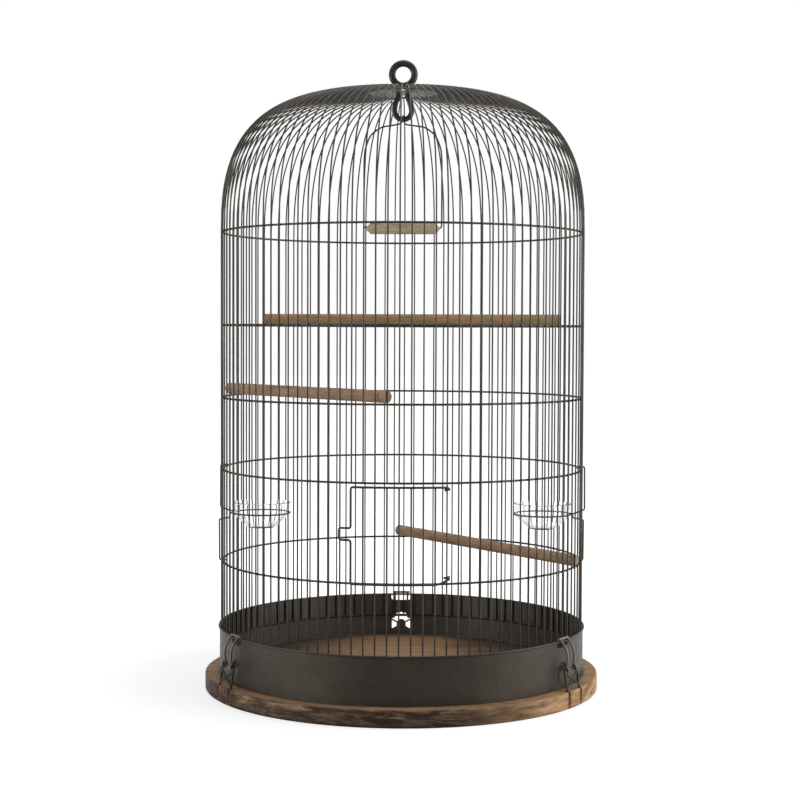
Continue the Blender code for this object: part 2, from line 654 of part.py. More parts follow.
def make_hanger():
    """The hanging ring over the cage and the drop-shaped loop under it, bent from one wire."""
    steps = 20
    angles = [2 * pi * step / steps for step in range(steps)]
    ring = [Vector((RING_RADIUS * cos(turn), 0, RING_CENTRE_HEIGHT + RING_RADIUS * sin(turn))) for turn in angles]
    top = RING_CENTRE_HEIGHT - RING_RADIUS
    half = [
        (DROP_NECK_HALF_WIDTH, top + DROP_WIRE_RADIUS / 2),
        (DROP_NECK_HALF_WIDTH, HUB_HEIGHT - 2 * DROP_WIRE_RADIUS),
        ((DROP_NECK_HALF_WIDTH + DROP_HALF_WIDTH) / 2 + 0.0006, (HUB_HEIGHT + DROP_WAIST_HEIGHT) / 2 - 0.0010),
        (DROP_HALF_WIDTH, DROP_WAIST_HEIGHT),
        (DROP_HALF_WIDTH * 0.92, (DROP_WAIST_HEIGHT + DROP_FOOT_HEIGHT) / 2),
        (DROP_HALF_WIDTH * 0.58, DROP_FOOT_HEIGHT + DROP_HALF_WIDTH * 0.17),
    ]
    drop = [Vector((-across, 0, height)) for across, height in half]
    drop.append(Vector((0, 0, DROP_FOOT_HEIGHT)))
    drop += [Vector((across, 0, height)) for across, height in reversed(half)]
    hanger = add_object(
        "hanger",
        mesh_of(wire_curve("hanger", [ring], RING_WIRE_RADIUS, closed=True, resolution=2)),
        "dark_metal",
    )
    loop = add_helper("hanger_drop", mesh_of(wire_curve("hanger_drop", [drop], DROP_WIRE_RADIUS, resolution=2)))
    with_boolean(hanger, loop, "UNION")


def make_hub_plate():
    """The pierced round plate inside the hub ring, which the hanger's two strands pass through."""
    arc_steps = ceil(BAR_COUNT / PANEL_COUNT / 2)
    chord = cos(pi / PANEL_COUNT / arc_steps)
    radius = HUB_RADIUS * chord - HOOP_WIRE_RADIUS - SEAT_GAP
    work = bmesh.new()
    bmesh.ops.create_cone(
        work,
        cap_ends=True,
        segments=2 * PLATE_WINDOWS,
        radius1=radius,
        radius2=radius,
        depth=PLATE_THICKNESS,
        matrix=Matrix.Translation((0, 0, HUB_HEIGHT)),
    )
    mesh = bpy.data.meshes.new("hub_plate")
    work.to_mesh(mesh)
    work.free()
    plate = add_object("hub_plate", mesh, "dark_metal")
    outer = radius - PLATE_BORDER
    pitch = 2 * pi / PLATE_WINDOWS
    cuts = []
    for window in range(PLATE_WINDOWS):
        middle = (window + 0.5) * pitch
        corners = [(PLATE_BOSS_RADIUS, 0), (outer, -0.32 * pitch), (outer, 0.32 * pitch)]
        outline = [(reach * cos(middle + turn), reach * sin(middle + turn)) for reach, turn in corners]
        cuts.append(mesh_of(flat_curve("window", outline, 0.01), Matrix.Translation((0, 0, HUB_HEIGHT))))
    hole = (DROP_WIRE_RADIUS + SEAT_GAP) / cos(pi / 12)
    for side in (-1, 1):
        angles = [2 * pi * (step + 0.5) / 12 for step in range(12)]
        outline = [(side * DROP_NECK_HALF_WIDTH + hole * cos(turn), hole * sin(turn)) for turn in angles]
        cuts.append(mesh_of(flat_curve("strand_hole", outline, 0.01), Matrix.Translation((0, 0, HUB_HEIGHT))))
    with_boolean(plate, add_helper("hub_plate_cuts", join_meshes("hub_plate_cuts", cuts)), "DIFFERENCE")


def make_swing():
    """The swing: a wire bail that wraps the foot of the hanger's loop, and a short perch between its toes."""
    pivot = Vector((0, 0, DROP_FOOT_HEIGHT))
    wrap = DROP_WIRE_RADIUS + SEAT_GAP + SWING_WIRE_RADIUS
    shoulder = SWING_SHOULDER_HEIGHT
    corner = Vector((SWING_HALF_WIDTH, 0, shoulder))
    side = []
    for step in range(5):
        turn = pi / 2 * step / 4
        across = SWING_HALF_WIDTH - SWING_SHOULDER_RADIUS * (1 - sin(turn))
        side.append(Vector((across, 0, corner.z - SWING_SHOULDER_RADIUS * (1 - cos(turn)))))
    toe = SWING_PERCH_LENGTH / 2 - SWING_TOE_LENGTH
    side += [Vector((SWING_HALF_WIDTH, 0, SWING_PERCH_HEIGHT)), Vector((toe, 0, SWING_PERCH_HEIGHT))]
    arch = [pivot + Vector((0, -wrap * cos(turn), wrap * sin(turn))) for turn in (0, pi / 4, pi / 2, 3 * pi / 4, pi)]
    dip = [Vector((0.0035, wrap, shoulder + 0.0014)), Vector((0.010, wrap * 0.6, shoulder))]
    right = arch + dip + side
    left = [Vector((-point.x, -point.y, point.z)) for point in reversed(dip + side)]
    bail_mesh = mesh_of(wire_curve("swing_wire", [left + right], SWING_WIRE_RADIUS))
    bail_mesh.transform(Matrix.Translation(-pivot))
    bail = add_object("swing_wire", bail_mesh, "dark_metal")
    bail.location = pivot
    perch_mesh = rod_mesh(
        "swing_perch", SWING_PERCH_LENGTH, PERCH_RADIUS, SWING_PERCH_TAPER, SWING_PERCH_TIP_RADIUS
    )
    drop = Vector((0, 0, SWING_PERCH_HEIGHT)) - pivot
    perch_mesh.transform(Matrix.Translation(drop))
    perch = add_object("swing_perch", perch_mesh, "perch_wood")
    perch.location = pivot
    bore = (SWING_WIRE_RADIUS + SEAT_GAP) / cos(pi / 8)
    holes = []
    for end in (-1, 1):
        start = Vector((end * (toe - SEAT_GAP - SWING_WIRE_RADIUS), 0, SWING_PERCH_HEIGHT))
        stop = Vector((end * (SWING_PERCH_LENGTH / 2 + 0.002), 0, SWING_PERCH_HEIGHT))
        holes.append([start, stop])
    drill = add_helper("swing_bores", mesh_of(wire_curve("swing_bores", holes, bore, resolution=2)))
    with_boolean(perch, drill, "DIFFERENCE")


def holder_points():
    """The bent wire of a bowl holder at the right side, in (outwards, along, up) coordinates."""
    along = CAGE_RADIUS * BAR_STEP / 2
    inside = HOOP_RADIUS * cos(pi / HOOP_SEGMENTS) - HOOP_WIRE_RADIUS - SEAT_GAP - 1.5 * HOLDER_WIRE_RADIUS
    clasp = HOOP_WIRE_RADIUS + SEAT_GAP + HOLDER_WIRE_RADIUS
    outside = CAGE_RADIUS + 2 * HOLDER_WIRE_RADIUS + HOLDER_STANDOFF
    bulge = outside + HOLDER_BULGE
    ring = (BOWL_NECK_RADIUS + SEAT_GAP + HOLDER_WIRE_RADIUS) / cos(pi / HOLDER_RING_STEPS)
    ends = atan2(along, sqrt(ring**2 - along**2))
    top = FEEDER_HOOP_HEIGHT + clasp
    foot = LOWER_HOOP_HEIGHT - clasp
    points = [
        (inside, -along, top - clasp),
        (inside, -along, top),
        (outside, -along, top),
        (bulge, -along, HOLDER_RING_HEIGHT + HOLDER_ARM_RISE),
    ]
    for step in range(HOLDER_RING_STEPS + 1):
        turn = ends + (2 * pi - 2 * ends) * step / HOLDER_RING_STEPS
        points.append((BOWL_DISTANCE + ring * cos(turn), -ring * sin(turn), HOLDER_RING_HEIGHT))
    points += [
        (BOWL_DISTANCE + ring + 0.003, along, HOLDER_RING_HEIGHT),
        (BOWL_DISTANCE + ring + 0.003, along, HOLDER_RING_HEIGHT - HOLDER_RETURN_DROP),
        (bulge, along, HOLDER_RING_HEIGHT - HOLDER_RETURN_DROP - 0.002),
        (outside, along, foot),
        (inside, along, foot),
        (inside, along, foot + clasp),
    ]
    return points


def bowl_profile():
    """(radius, height) pairs of the bowl's section, from the rim down the outside and back up inside."""
    shoulder = HOLDER_RING_HEIGHT - 0.004
    outer = [
        (BOWL_RIM_RADIUS - 0.0006, BOWL_RIM_HEIGHT),
        (BOWL_RIM_RADIUS, BOWL_RIM_HEIGHT - 0.001),
        (BOWL_NECK_RADIUS, HOLDER_RING_HEIGHT),
        (BOWL_NECK_RADIUS - 0.0015, shoulder),
        ((BOWL_NECK_RADIUS + BOWL_FOOT_RADIUS) / 2, (shoulder + BOWL_FOOT_HEIGHT) / 2),
        (BOWL_FOOT_RADIUS, BOWL_FOOT_HEIGHT),
        (0.0, BOWL_FOOT_HEIGHT),
    ]
    inner = [
        (0.0, BOWL_FOOT_HEIGHT + BOWL_FLOOR),
        (BOWL_FOOT_RADIUS - 0.001, BOWL_FOOT_HEIGHT + BOWL_FLOOR),
        (BOWL_NECK_RADIUS - 0.0015 - BOWL_WALL * 1.3, shoulder + 0.001),
        (BOWL_RIM_RADIUS - BOWL_WALL, BOWL_RIM_HEIGHT - 0.001),
        (BOWL_RIM_RADIUS - BOWL_WALL + 0.0006, BOWL_RIM_HEIGHT),
    ]
    return outer + inner


def make_bowls():
    """A glass bowl and its wire holder at each side."""
    profile = bowl_profile()
    for side, name in ((1, "right"), (-1, "left")):
        turned = Matrix.Rotation(0 if side > 0 else pi, 4, "Z")
        path = [turned @ Vector(point) for point in holder_points()]
        holder = wire_curve("bowl_holder_" + name, [path], HOLDER_WIRE_RADIUS)
        add_object("bowl_holder_" + name, holder, "dark_metal")
        mesh = bpy.data.meshes.new("glass_bowl_" + name)
        count = len(profile)
        edges = [(index, (index + 1) % count) for index in range(count)]
        # No edge runs along the axis, where the profile crosses the bowl's floor
        edges.remove((BOWL_AXIS_POINT, BOWL_AXIS_POINT + 1))
        mesh.from_pydata([(radius, 0, height) for radius, height in profile], edges, [])
        bowl = add_object("glass_bowl_" + name, mesh, "glass")
        bowl.location = (side * BOWL_DISTANCE, 0, 0)
        turn = bowl.modifiers.new("Turn", "SCREW")
        turn.steps = BOWL_STEPS
        turn.render_steps = BOWL_STEPS
        turn.use_merge_vertices = True
        turn.merge_threshold = 0.0001


def main():
    start_scene()
    make_board()
    make_skirt()
    make_bars()
    make_hoops()
    make_anchors()
    make_hooks()
    make_door()
    make_perches()
    make_hanger()
    make_hub_plate()
    make_swing()
    make_bowls()


main()
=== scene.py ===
# %% [markdown]
# # A domed bird cage
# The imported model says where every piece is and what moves. This script dresses it: each wire becomes a
# round, smoothly bent wire, each piece of wood gets its grain, and each sheet of metal its dull patina.
# All sizes are in metres. The front of the cage faces -Y, and +Z is up.

import bpy
import json
from math import acos, atan2, cos, hypot, pi, radians, sin, sqrt
from mathutils import Matrix, Vector


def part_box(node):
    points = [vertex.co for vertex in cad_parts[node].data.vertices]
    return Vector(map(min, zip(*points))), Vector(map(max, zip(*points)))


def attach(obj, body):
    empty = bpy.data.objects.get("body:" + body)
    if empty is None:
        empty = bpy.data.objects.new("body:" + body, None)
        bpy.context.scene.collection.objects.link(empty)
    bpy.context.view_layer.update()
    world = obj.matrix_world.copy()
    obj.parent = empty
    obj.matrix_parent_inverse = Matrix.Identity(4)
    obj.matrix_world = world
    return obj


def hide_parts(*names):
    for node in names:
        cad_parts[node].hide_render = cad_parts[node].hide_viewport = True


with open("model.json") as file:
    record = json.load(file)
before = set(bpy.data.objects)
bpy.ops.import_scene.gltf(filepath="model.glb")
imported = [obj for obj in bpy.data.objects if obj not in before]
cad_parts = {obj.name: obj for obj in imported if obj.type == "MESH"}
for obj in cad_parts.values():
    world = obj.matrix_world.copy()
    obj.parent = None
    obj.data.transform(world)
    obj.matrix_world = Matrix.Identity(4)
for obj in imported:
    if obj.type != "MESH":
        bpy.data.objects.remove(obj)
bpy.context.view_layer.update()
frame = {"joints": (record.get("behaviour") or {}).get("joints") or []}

# %% [markdown]
# ## Sizes
# The box of each CAD node gives the heights and radii, so nothing has to be fitted by eye. The few sizes
# that a box can't give are those of the wire itself and of the curve of the dome. A bar is drawn a little
# thinner than its 2 mm, but all that touches it is placed for the full thickness.

# %% Sizes that the whole cage shares
BAR_COUNT = 104
BAR_STEP = 2 * pi / BAR_COUNT
BAR_RADIUS = 0.001
BAR_LOOK_RADIUS = 0.0009
CAGE_RADIUS = 0.2203
BAR_FOOT_HEIGHT = 0.0475
HOOP_WIRE_RADIUS = 0.00125
HOOP_RADIUS = CAGE_RADIUS - BAR_RADIUS - HOOP_WIRE_RADIUS
DOME_START_HEIGHT = 0.5525
DOME_RISE = 0.17141
DOME_BREADTH_POWER = 3.5
DOME_HEIGHT_POWER = 2.6
HUB_RADIUS = 0.0406
HUB_FALL = (HUB_RADIUS / CAGE_RADIUS) ** DOME_BREADTH_POWER
HUB_HEIGHT = DOME_START_HEIGHT + DOME_RISE * (1 - HUB_FALL) ** (1 / DOME_HEIGHT_POWER)
SEAT_GAP = 0.0003
SECTOR_COUNT = 8
SECTOR_BARS = BAR_COUNT // SECTOR_COUNT
DOOR_FIRST_BAR = -4
DOOR_HINGE_BAR = 4


def middle_height(node):
    """The height of a node's middle."""
    low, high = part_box(node)
    return (low.z + high.z) / 2


HOOPS = ("lower_hoop", "feeder_hoop", "middle_hoop", "upper_hoop", "crown_hoop")
HOOP_HEIGHTS = {name: middle_height(name) for name in HOOPS}
BOARD_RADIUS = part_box("base_board")[1].x
BOARD_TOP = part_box("base_board")[1].z
print("hoop heights:", {name: round(height, 4) for name, height in HOOP_HEIGHTS.items()})

# %% [markdown]
# ## Helpers for modelling
# An operator works on whatever is selected, so each step starts by selecting nothing. A new piece stays
# at the origin, and its vertices are moved instead, so that every piece shares the cage's own places.


# %% Adding, moving and joining pieces
def select_only(*things):
    """Selects these objects and nothing else, and makes the last one active."""
    bpy.ops.object.select_all(action="DESELECT")
    for thing in things:
        thing.select_set(True)
        bpy.context.view_layer.objects.active = thing


def added(operator, **options):
    """Runs an operator that adds an object, with nothing else selected."""
    bpy.ops.object.select_all(action="DESELECT")
    operator(**options)
    return bpy.context.object


def polar(radius, azimuth, height):
    """A point at an azimuth in radians, counted from the front towards +X."""
    return Vector((radius * sin(azimuth), -radius * cos(azimuth), height))


def arc(radius, start, end, height, steps):
    """Points of a level arc between two azimuths."""
    return [polar(radius, start + (end - start) * step / steps, height) for step in range(steps + 1)]


def at_azimuth(azimuth):
    """Turns a piece built at the front to an azimuth in radians."""
    return Matrix.Rotation(azimuth, 4, "Z")


def moved(piece, matrix):
    """Moves a piece's vertices, so that its object stays at the origin."""
    piece.data.transform(matrix)
    piece.data.update()
    return piece


def turned_copy(piece, name, matrix):
    """A second piece with its own mesh."""
    copy = piece.copy()
    copy.data = piece.data.copy()
    copy.name = name
    bpy.context.scene.collection.objects.link(copy)
    return moved(copy, matrix)


def joined(name, pieces):
    """One piece made of several."""
    select_only(*pieces)
    bpy.ops.object.join()
    piece = bpy.context.object
    piece.name = name
    piece.data.name = name
    return piece


def smoothed(piece, angle):
    """Shades a piece smooth, but keeps edges that turn by more than the angle in degrees."""
    select_only(piece)
    bpy.ops.object.shade_smooth_by_angle(angle=radians(angle))
    return piece


def cleaned(piece, merge=0.0):
    """Merges points that are closer than merge, and turns all faces outwards."""
    select_only(piece)
    bpy.ops.object.mode_set(mode="EDIT")
    bpy.ops.mesh.select_all(action="SELECT")
    if merge:
        bpy.ops.mesh.remove_doubles(threshold=merge)
    bpy.ops.mesh.normals_make_consistent(inside=False)
    bpy.ops.object.mode_set(mode="OBJECT")
    return piece


def copies_round(piece, count):
    """Repeats a piece at the next bars with an Array modifier, which is then applied."""
    turner = added(bpy.ops.object.empty_add, rotation=(0, 0, BAR_STEP))
    select_only(piece)
    rows = piece.modifiers.new("Round", "ARRAY")
    rows.use_relative_offset = False
    rows.use_object_offset = True
    rows.offset_object = turner
    rows.count = count
    bpy.ops.object.modifier_apply(modifier=rows.name)
    bpy.data.objects.remove(turner)
    return piece


# %% [markdown]
# Most of this cage is wire. A wire could be a row of cylinders, but a curve with a round bevel bends
# smoothly and keeps its thickness, so every wire starts as one of Blender's curve primitives, gets its
# route, and is then converted to a mesh.


# %% Wires
def rounded(points, reach, steps=4):
    """The same route with each inner corner rounded. reach is how far from the corner the bend starts."""
    points = [Vector(point) for point in points]
    route = [points[0]]
    for before, corner, after in zip(points, points[1:], points[2:]):
        cut = min(reach, (corner - before).length * 0.49, (after - corner).length * 0.49)
        start = corner + (before - corner).normalized() * cut
        end = corner + (after - corner).normalized() * cut
        for step in range(steps + 1):
            part = step / steps
            route.append(start * (1 - part) ** 2 + corner * 2 * part * (1 - part) + end * part**2)
    return route + [points[-1]]


def flowing(points, steps=4):
    """A smooth route through the points (a Catmull-Rom curve)."""
    padded = [points[0] * 2 - points[1]] + points + [points[-1] * 2 - points[-2]]
    route = [points[0]]
    for a, b, c, d in zip(padded, padded[1:], padded[2:], padded[3:]):
        for step in range(1, steps + 1):
            t = step / steps
            straight = b * 2 + (c - a) * t
            route.append((straight + (a * 2 - b * 5 + c * 4 - d) * t**2 + (b * 3 - a - c * 3 + d) * t**3) / 2)
    return route


def two_halves(half, middle):
    """A route through a middle to a half, which starts from the same half turned round the Z axis."""
    half = [Vector(point) for point in half]
    return [Vector((-point.x, -point.y, point.z)) for point in reversed(half)] + middle + half


def helix(centre, along, start, radius, pitch, turns):
    """Points of a wire wrapped round a bar. start is the side of the bar where it begins."""
    steps = 10
    along = Vector(along).normalized()
    across = Vector(start).normalized()
    other = along.cross(across)
    return [
        centre
        + across * (radius * cos(2 * pi * step / steps))
        + other * (radius * sin(2 * pi * step / steps))
        + along * (pitch * step / steps)
        for step in range(int(turns * steps) + 1)
    ]


def bend_wire(name, route, radius, sides=8, closed=False):
    """A round wire along a route of points, as a mesh."""
    wire = added(bpy.ops.curve.primitive_bezier_curve_add)
    wire.name = name
    curve = wire.data
    curve.splines.clear()
    spline = curve.splines.new("POLY")
    spline.points.add(len(route) - 1)
    for point, place in zip(spline.points, route):
        point.co = (*place, 1.0)
    spline.use_cyclic_u = closed
    curve.dimensions = "3D"
    curve.bevel_depth = radius
    curve.bevel_resolution = (sides - 4) // 2
    curve.use_fill_caps = True
    bpy.ops.object.convert(target="MESH")
    return smoothed(cleaned(bpy.context.object, 0.00001), 50)


# %% [markdown]
# ## Finishes
# The pattern of a finish is a node group: it turns a place on the object into a colour, a roughness and a
# height. The Principled shader stays in each material, because the export can't read one in a group. The
# small functions below each stand for one node or two. Their arguments are plain values or other nodes'
# outputs, and the new node goes into the tree that those outputs belong to.


# %% Nodes
def fill(node, inputs):
    """Gives a node its inputs: a socket is linked, and a plain value is set. Colours get their alpha here."""
    for label, value in inputs.items():
        socket = node.inputs[label]
        if isinstance(value, bpy.types.NodeSocket):
            node.id_data.links.new(value, socket)
        elif socket.type == "RGBA":
            socket.default_value = (*value, 1.0)
        else:
            socket.default_value = value


def tree_of(values):
    """The node tree of the first output among these values."""
    return next(value.id_data for value in values if isinstance(value, bpy.types.NodeSocket))


def new_node(kind, inputs, operation=None):
    """A node in the tree that its inputs come from."""
    node = tree_of(inputs.values()).nodes.new(kind)
    if operation:
        node.operation = operation
    fill(node, inputs)
    return node


def object_place(tree):
    """The place on the object, in metres."""
    return tree.nodes.new("ShaderNodeTexCoord").outputs["Object"]


def stretched(place, scale):
    """Places scaled by different amounts along X, Y and Z."""
    return new_node("ShaderNodeMapping", {"Vector": place, "Scale": scale}).outputs["Vector"]


def along_axis(place, axis):
    """One of a place's three numbers."""
    return new_node("ShaderNodeSeparateXYZ", {0: place}).outputs[axis]


def from_axis(place):
    """How far a place is from the cage's upright axis."""
    flat = stretched(place, (1.0, 1.0, 0.0))
    return new_node("ShaderNodeVectorMath", {0: flat}, "LENGTH").outputs["Value"]


def calculated(operation, *values):
    """A Math node's result."""
    return new_node("ShaderNodeMath", dict(enumerate(values)), operation).outputs[0]


def ranged(source, low, high, from_low=0.0, from_high=1.0):
    """A Map Range node: a value from one range brought into another."""
    inputs = {"Value": source, "From Min": from_low, "From Max": from_high, "To Min": low, "To Max": high}
    return new_node("ShaderNodeMapRange", inputs).outputs["Result"]


def noise(place, scale, detail=3.0, roughness=0.5, distortion=0.0):
    """A noise's value at a place."""
    inputs = {"Vector": place, "Scale": scale, "Detail": detail}
    inputs.update({"Roughness": roughness, "Distortion": distortion})
    return new_node("ShaderNodeTexNoise", inputs).outputs["Fac"]


def ramp(source, *stops):
    """A colour ramp from (place, colour) pairs. A colour that is one number is a grey."""
    node = new_node("ShaderNodeValToRGB", {"Fac": source})
    while len(node.color_ramp.elements) < len(stops):
        node.color_ramp.elements.new(0.5)
    for element, (place, colour) in zip(node.color_ramp.elements, stops):
        element.position = place
        element.color = (*colour, 1.0) if isinstance(colour, tuple) else (colour, colour, colour, 1.0)
    return node.outputs["Color"]


def mixed(factor, low, high, blend="MIX"):
    """A Mix node for colours."""
    node = tree_of((factor, low, high)).nodes.new("ShaderNodeMix")
    node.data_type = "RGBA"
    node.blend_type = blend
    fill(node, {0: factor, 6: low, 7: high})
    return node.outputs[2]


def shaded(colour, shade, strength=1.0):
    """A colour multiplied by a shade."""
    return mixed(strength, colour, shade, "MULTIPLY")


def new_group(name, *labels):
    """An empty pattern. Size is a number and the other labels are colours. Returns its two ends too."""
    group = bpy.data.node_groups.new(name, "ShaderNodeTree")
    group.interface.new_socket("Vector", in_out="INPUT", socket_type="NodeSocketVector")
    for label in labels:
        kind = "NodeSocketFloat" if label == "Size" else "NodeSocketColor"
        group.interface.new_socket(label, in_out="INPUT", socket_type=kind)
    for label in ("Color", "Roughness", "Height"):
        kind = "NodeSocketColor" if label == "Color" else "NodeSocketFloat"
        group.interface.new_socket(label, in_out="OUTPUT", socket_type=kind)
    return group, group.nodes.new("NodeGroupInput").outputs, group.nodes.new("NodeGroupOutput")


# %% [markdown]
# The metal is iron with a brown-black oxide finish. It isn't one colour: there are cloudy patches a few
# centimetres across, fine mottling, and pale rubbed specks. One noise for each gives all three.

# %% Patina
PATINA, patina_in, patina_out = new_group("patina", "Dark", "Light", "Rubbed")
patina_clouds = noise(patina_in["Vector"], 14.0, 4.0, 0.55, 0.4)
patina_mottle = noise(patina_in["Vector"], 160.0, 4.0, 0.6)
patina_specks = noise(patina_in["Vector"], 620.0, 2.0)
patina_cloudy = ramp(patina_clouds, (0.35, 0), (0.65, 1))
patina_base = mixed(patina_cloudy, patina_in["Dark"], patina_in["Light"])
patina_shade = shaded(patina_base, ramp(patina_mottle, (0.3, 0.45), (0.7, 1)), 0.35)
patina_rubbed = ramp(patina_specks, (0.62, 0), (0.74, 0.6))
fill(
    patina_out,
    {
        "Color": mixed(patina_rubbed, patina_shade, patina_in["Rubbed"]),
        "Roughness": ranged(patina_mottle, 0.36, 0.62, 0.3, 0.7),
        "Height": patina_specks,
    },
)
print("patina group:", len(PATINA.nodes), "nodes")

# %% [markdown]
# Wood is a solid pattern, not a skin: the same rings run through the top, the edge and every hole. Three
# noises are pulled out along X: one for the growth rings, one for fine dark pores and one for splits. A
# cloudy stain lies over the rings and the pores.

# %% Wood grain
WOOD, wood_in, wood_out = new_group("wood_grain", "Pale", "Deep", "Crack", "Size")
wood_size = new_node("ShaderNodeVectorMath", {0: wood_in["Vector"], "Scale": wood_in["Size"]}, "SCALE")
wood_place = wood_size.outputs["Vector"]
wood_rings = noise(stretched(wood_place, (7.0, 75.0, 75.0)), 1.0, 3.0, 0.55, 0.9)
wood_pores = noise(stretched(wood_place, (60.0, 900.0, 900.0)), 1.0, 4.0, 0.65)
wood_splits = noise(stretched(wood_place, (11.0, 90.0, 160.0)), 1.0, 5.0, 0.7, 1.6)
wood_stain = noise(wood_place, 9.0, 4.0, 0.6, 0.5)
wood_banded = ramp(wood_rings, (0.30, 0), (0.48, 0.75), (0.56, 0.35), (0.72, 1))
wood_base = mixed(wood_banded, wood_in["Deep"], wood_in["Pale"])
wood_fine = shaded(wood_base, ramp(wood_pores, (0.38, 0.35), (0.6, 1)), 0.55)
wood_cloudy = shaded(wood_fine, ramp(wood_stain, (0.32, 0.45), (0.66, 1)), 0.6)
wood_split = ramp(wood_splits, (0.60, 0), (0.68, 0.85))
fill(
    wood_out,
    {
        "Color": mixed(wood_split, wood_cloudy, wood_in["Crack"]),
        "Roughness": ranged(wood_rings, 0.8, 0.55, 0.3, 0.7),
        "Height": wood_pores,
    },
)
print("wood group:", len(WOOD.nodes), "nodes")

# %% [markdown]
# A material gives a pattern its colours. The wires, the skirt's sheet, the heavy ring with the latches' legs,
# and the paler metal of the latches' loops and the hub plate share one patina, and so do the board and the
# perches one wood.

# %% Materials that use the groups
RELIEF = 0.0003


def new_material(name):
    """A material with its node tree and its shader."""
    material = bpy.data.materials.new(name)
    material.use_nodes = True
    return material, material.node_tree, material.node_tree.nodes["Principled BSDF"]


def finish(name, group, metallic, bump, *values):
    """A material whose colour, roughness and bump come from one group. values are the group's inputs."""
    material, tree, shader = new_material(name)
    pattern = tree.nodes.new("ShaderNodeGroup")
    pattern.node_tree = group
    fill(pattern, dict(enumerate((stretched(object_place(tree), (1, 1, 1)), *values))))
    height = pattern.outputs["Height"]
    relief = new_node("ShaderNodeBump", {"Strength": bump, "Distance": RELIEF, "Height": height})
    fill(
        shader,
        {
            "Base Color": pattern.outputs["Color"],
            "Roughness": pattern.outputs["Roughness"],
            "Metallic": metallic,
            "Normal": relief.outputs["Normal"],
        },
    )
    return material


def painted(material):
    """A material's node tree, its shader, and the output that gives the shader its colour now."""
    shader = material.node_tree.nodes["Principled BSDF"]
    return material.node_tree, shader, shader.inputs["Base Color"].links[0].from_socket


SHEET_METALLIC = 0.75
# The numbers beside the names are the metallic share and the bump's strength. The last line of each has
# the group's own inputs in their order: dark, light and rubbed, or pale, deep, crack and the grain's size.
WIRE = finish(
    "dark_wire", PATINA, 0.55, 0.25,
    (0.028, 0.0235, 0.0185), (0.062, 0.053, 0.043), (0.16, 0.14, 0.115),
)
SHEET = finish(
    "skirt_sheet", PATINA, SHEET_METALLIC, 0.10,
    (0.037, 0.030, 0.0222), (0.055, 0.045, 0.034), (0.09, 0.076, 0.058),
)
LATCH_WIRE = finish(
    "latch_wire", PATINA, 0.55, 0.25,
    (0.016, 0.013, 0.010), (0.036, 0.030, 0.024), (0.11, 0.09, 0.07),
)
PALE_METAL = finish(
    "pale_metal", PATINA, 0.3, 0.25,
    (0.11, 0.10, 0.078), (0.18, 0.165, 0.13), (0.28, 0.255, 0.205),
)
BOARD = finish(
    "board_wood", WOOD, 0.0, 0.7,
    (0.56, 0.335, 0.172), (0.215, 0.117, 0.060), (0.035, 0.02, 0.013), 1.0,
)
PERCH = finish(
    "perch_wood", WOOD, 0.0, 0.5,
    (0.54, 0.34, 0.188), (0.25, 0.147, 0.082), (0.06, 0.036, 0.022), 2.2,
)
print("materials:", sorted(material.name for material in (WIRE, SHEET, LATCH_WIRE, PALE_METAL, BOARD, PERCH)))

# %% [markdown]
# The bars are darker towards their feet. A mask on the height does that.

# %% Dark feet of the bars
wire_tree, wire_shader, wire_colour = painted(WIRE)
wire_foot = ramp(along_axis(object_place(wire_tree), "Z"), (0.085, 0.45), (0.125, 1))
fill(wire_shader, {"Base Color": shaded(wire_colour, wire_foot)})
print("wire nodes:", len(wire_tree.nodes))

# %% [markdown]
# Inside, the skirt was never polished: it is a dull grey. A mask on the distance from the axis tells the
# inner face from the outer one.

# %% Dull inside of the skirt
DULL_EDGE = CAGE_RADIUS + BAR_RADIUS + 0.0005
DULL_METALLIC = 0.2
sheet_tree, sheet_shader, sheet_colour = painted(SHEET)
sheet_reach = from_axis(object_place(sheet_tree))
sheet_inside = ranged(sheet_reach, 1.0, 0.0, DULL_EDGE, DULL_EDGE + 0.0004)
dull_colour = shaded(sheet_colour, (1.35, 1.4, 1.4))
fill(
    sheet_shader,
    {
        "Base Color": mixed(sheet_inside, sheet_colour, dull_colour),
        "Metallic": ranged(sheet_inside, SHEET_METALLIC, DULL_METALLIC),
    },
)
print("sheet nodes:", len(sheet_tree.nodes))

# %% [markdown]
# The board's rim was left rough. It has long dark streaks that run round it, with worn pale wood between
# them, and their deep tone is partly painted shade. Along the foot it is painted blackest, a painted shade
# where it meets the floor. The pattern is a noise that changes fast upwards and slowly sideways, so it needs
# no seam.

# %% Rough rim of the board
board_tree, board_shader, board_plain = painted(BOARD)
board_place = object_place(board_tree)
rim_streaks = noise(stretched(board_place, (26.0, 26.0, 150.0)), 1.0, 5.0, 0.62, 0.7)
rim_chips = noise(stretched(board_place, (110.0, 110.0, 320.0)), 1.0, 4.0, 0.6, 0.3)
rim_wood = ramp(
    rim_streaks,
    (0.34, (0.014, 0.008, 0.005)),
    (0.46, (0.036, 0.021, 0.012)),
    (0.56, (0.105, 0.062, 0.036)),
    (0.68, (0.29, 0.185, 0.10)),
)
rim_chipped = shaded(rim_wood, ramp(rim_chips, (0.36, 0.4), (0.60, 1)), 0.6)
# Painted shade: the lowest 6 mm of the rim, where it meets the floor, is darkened nearly to black.
painted_foot_shade = ranged(along_axis(board_place, "Z"), 0.85, 0.0, 0.0, 0.006)
rim_with_foot_shade = mixed(painted_foot_shade, rim_chipped, (0.02, 0.012, 0.008))
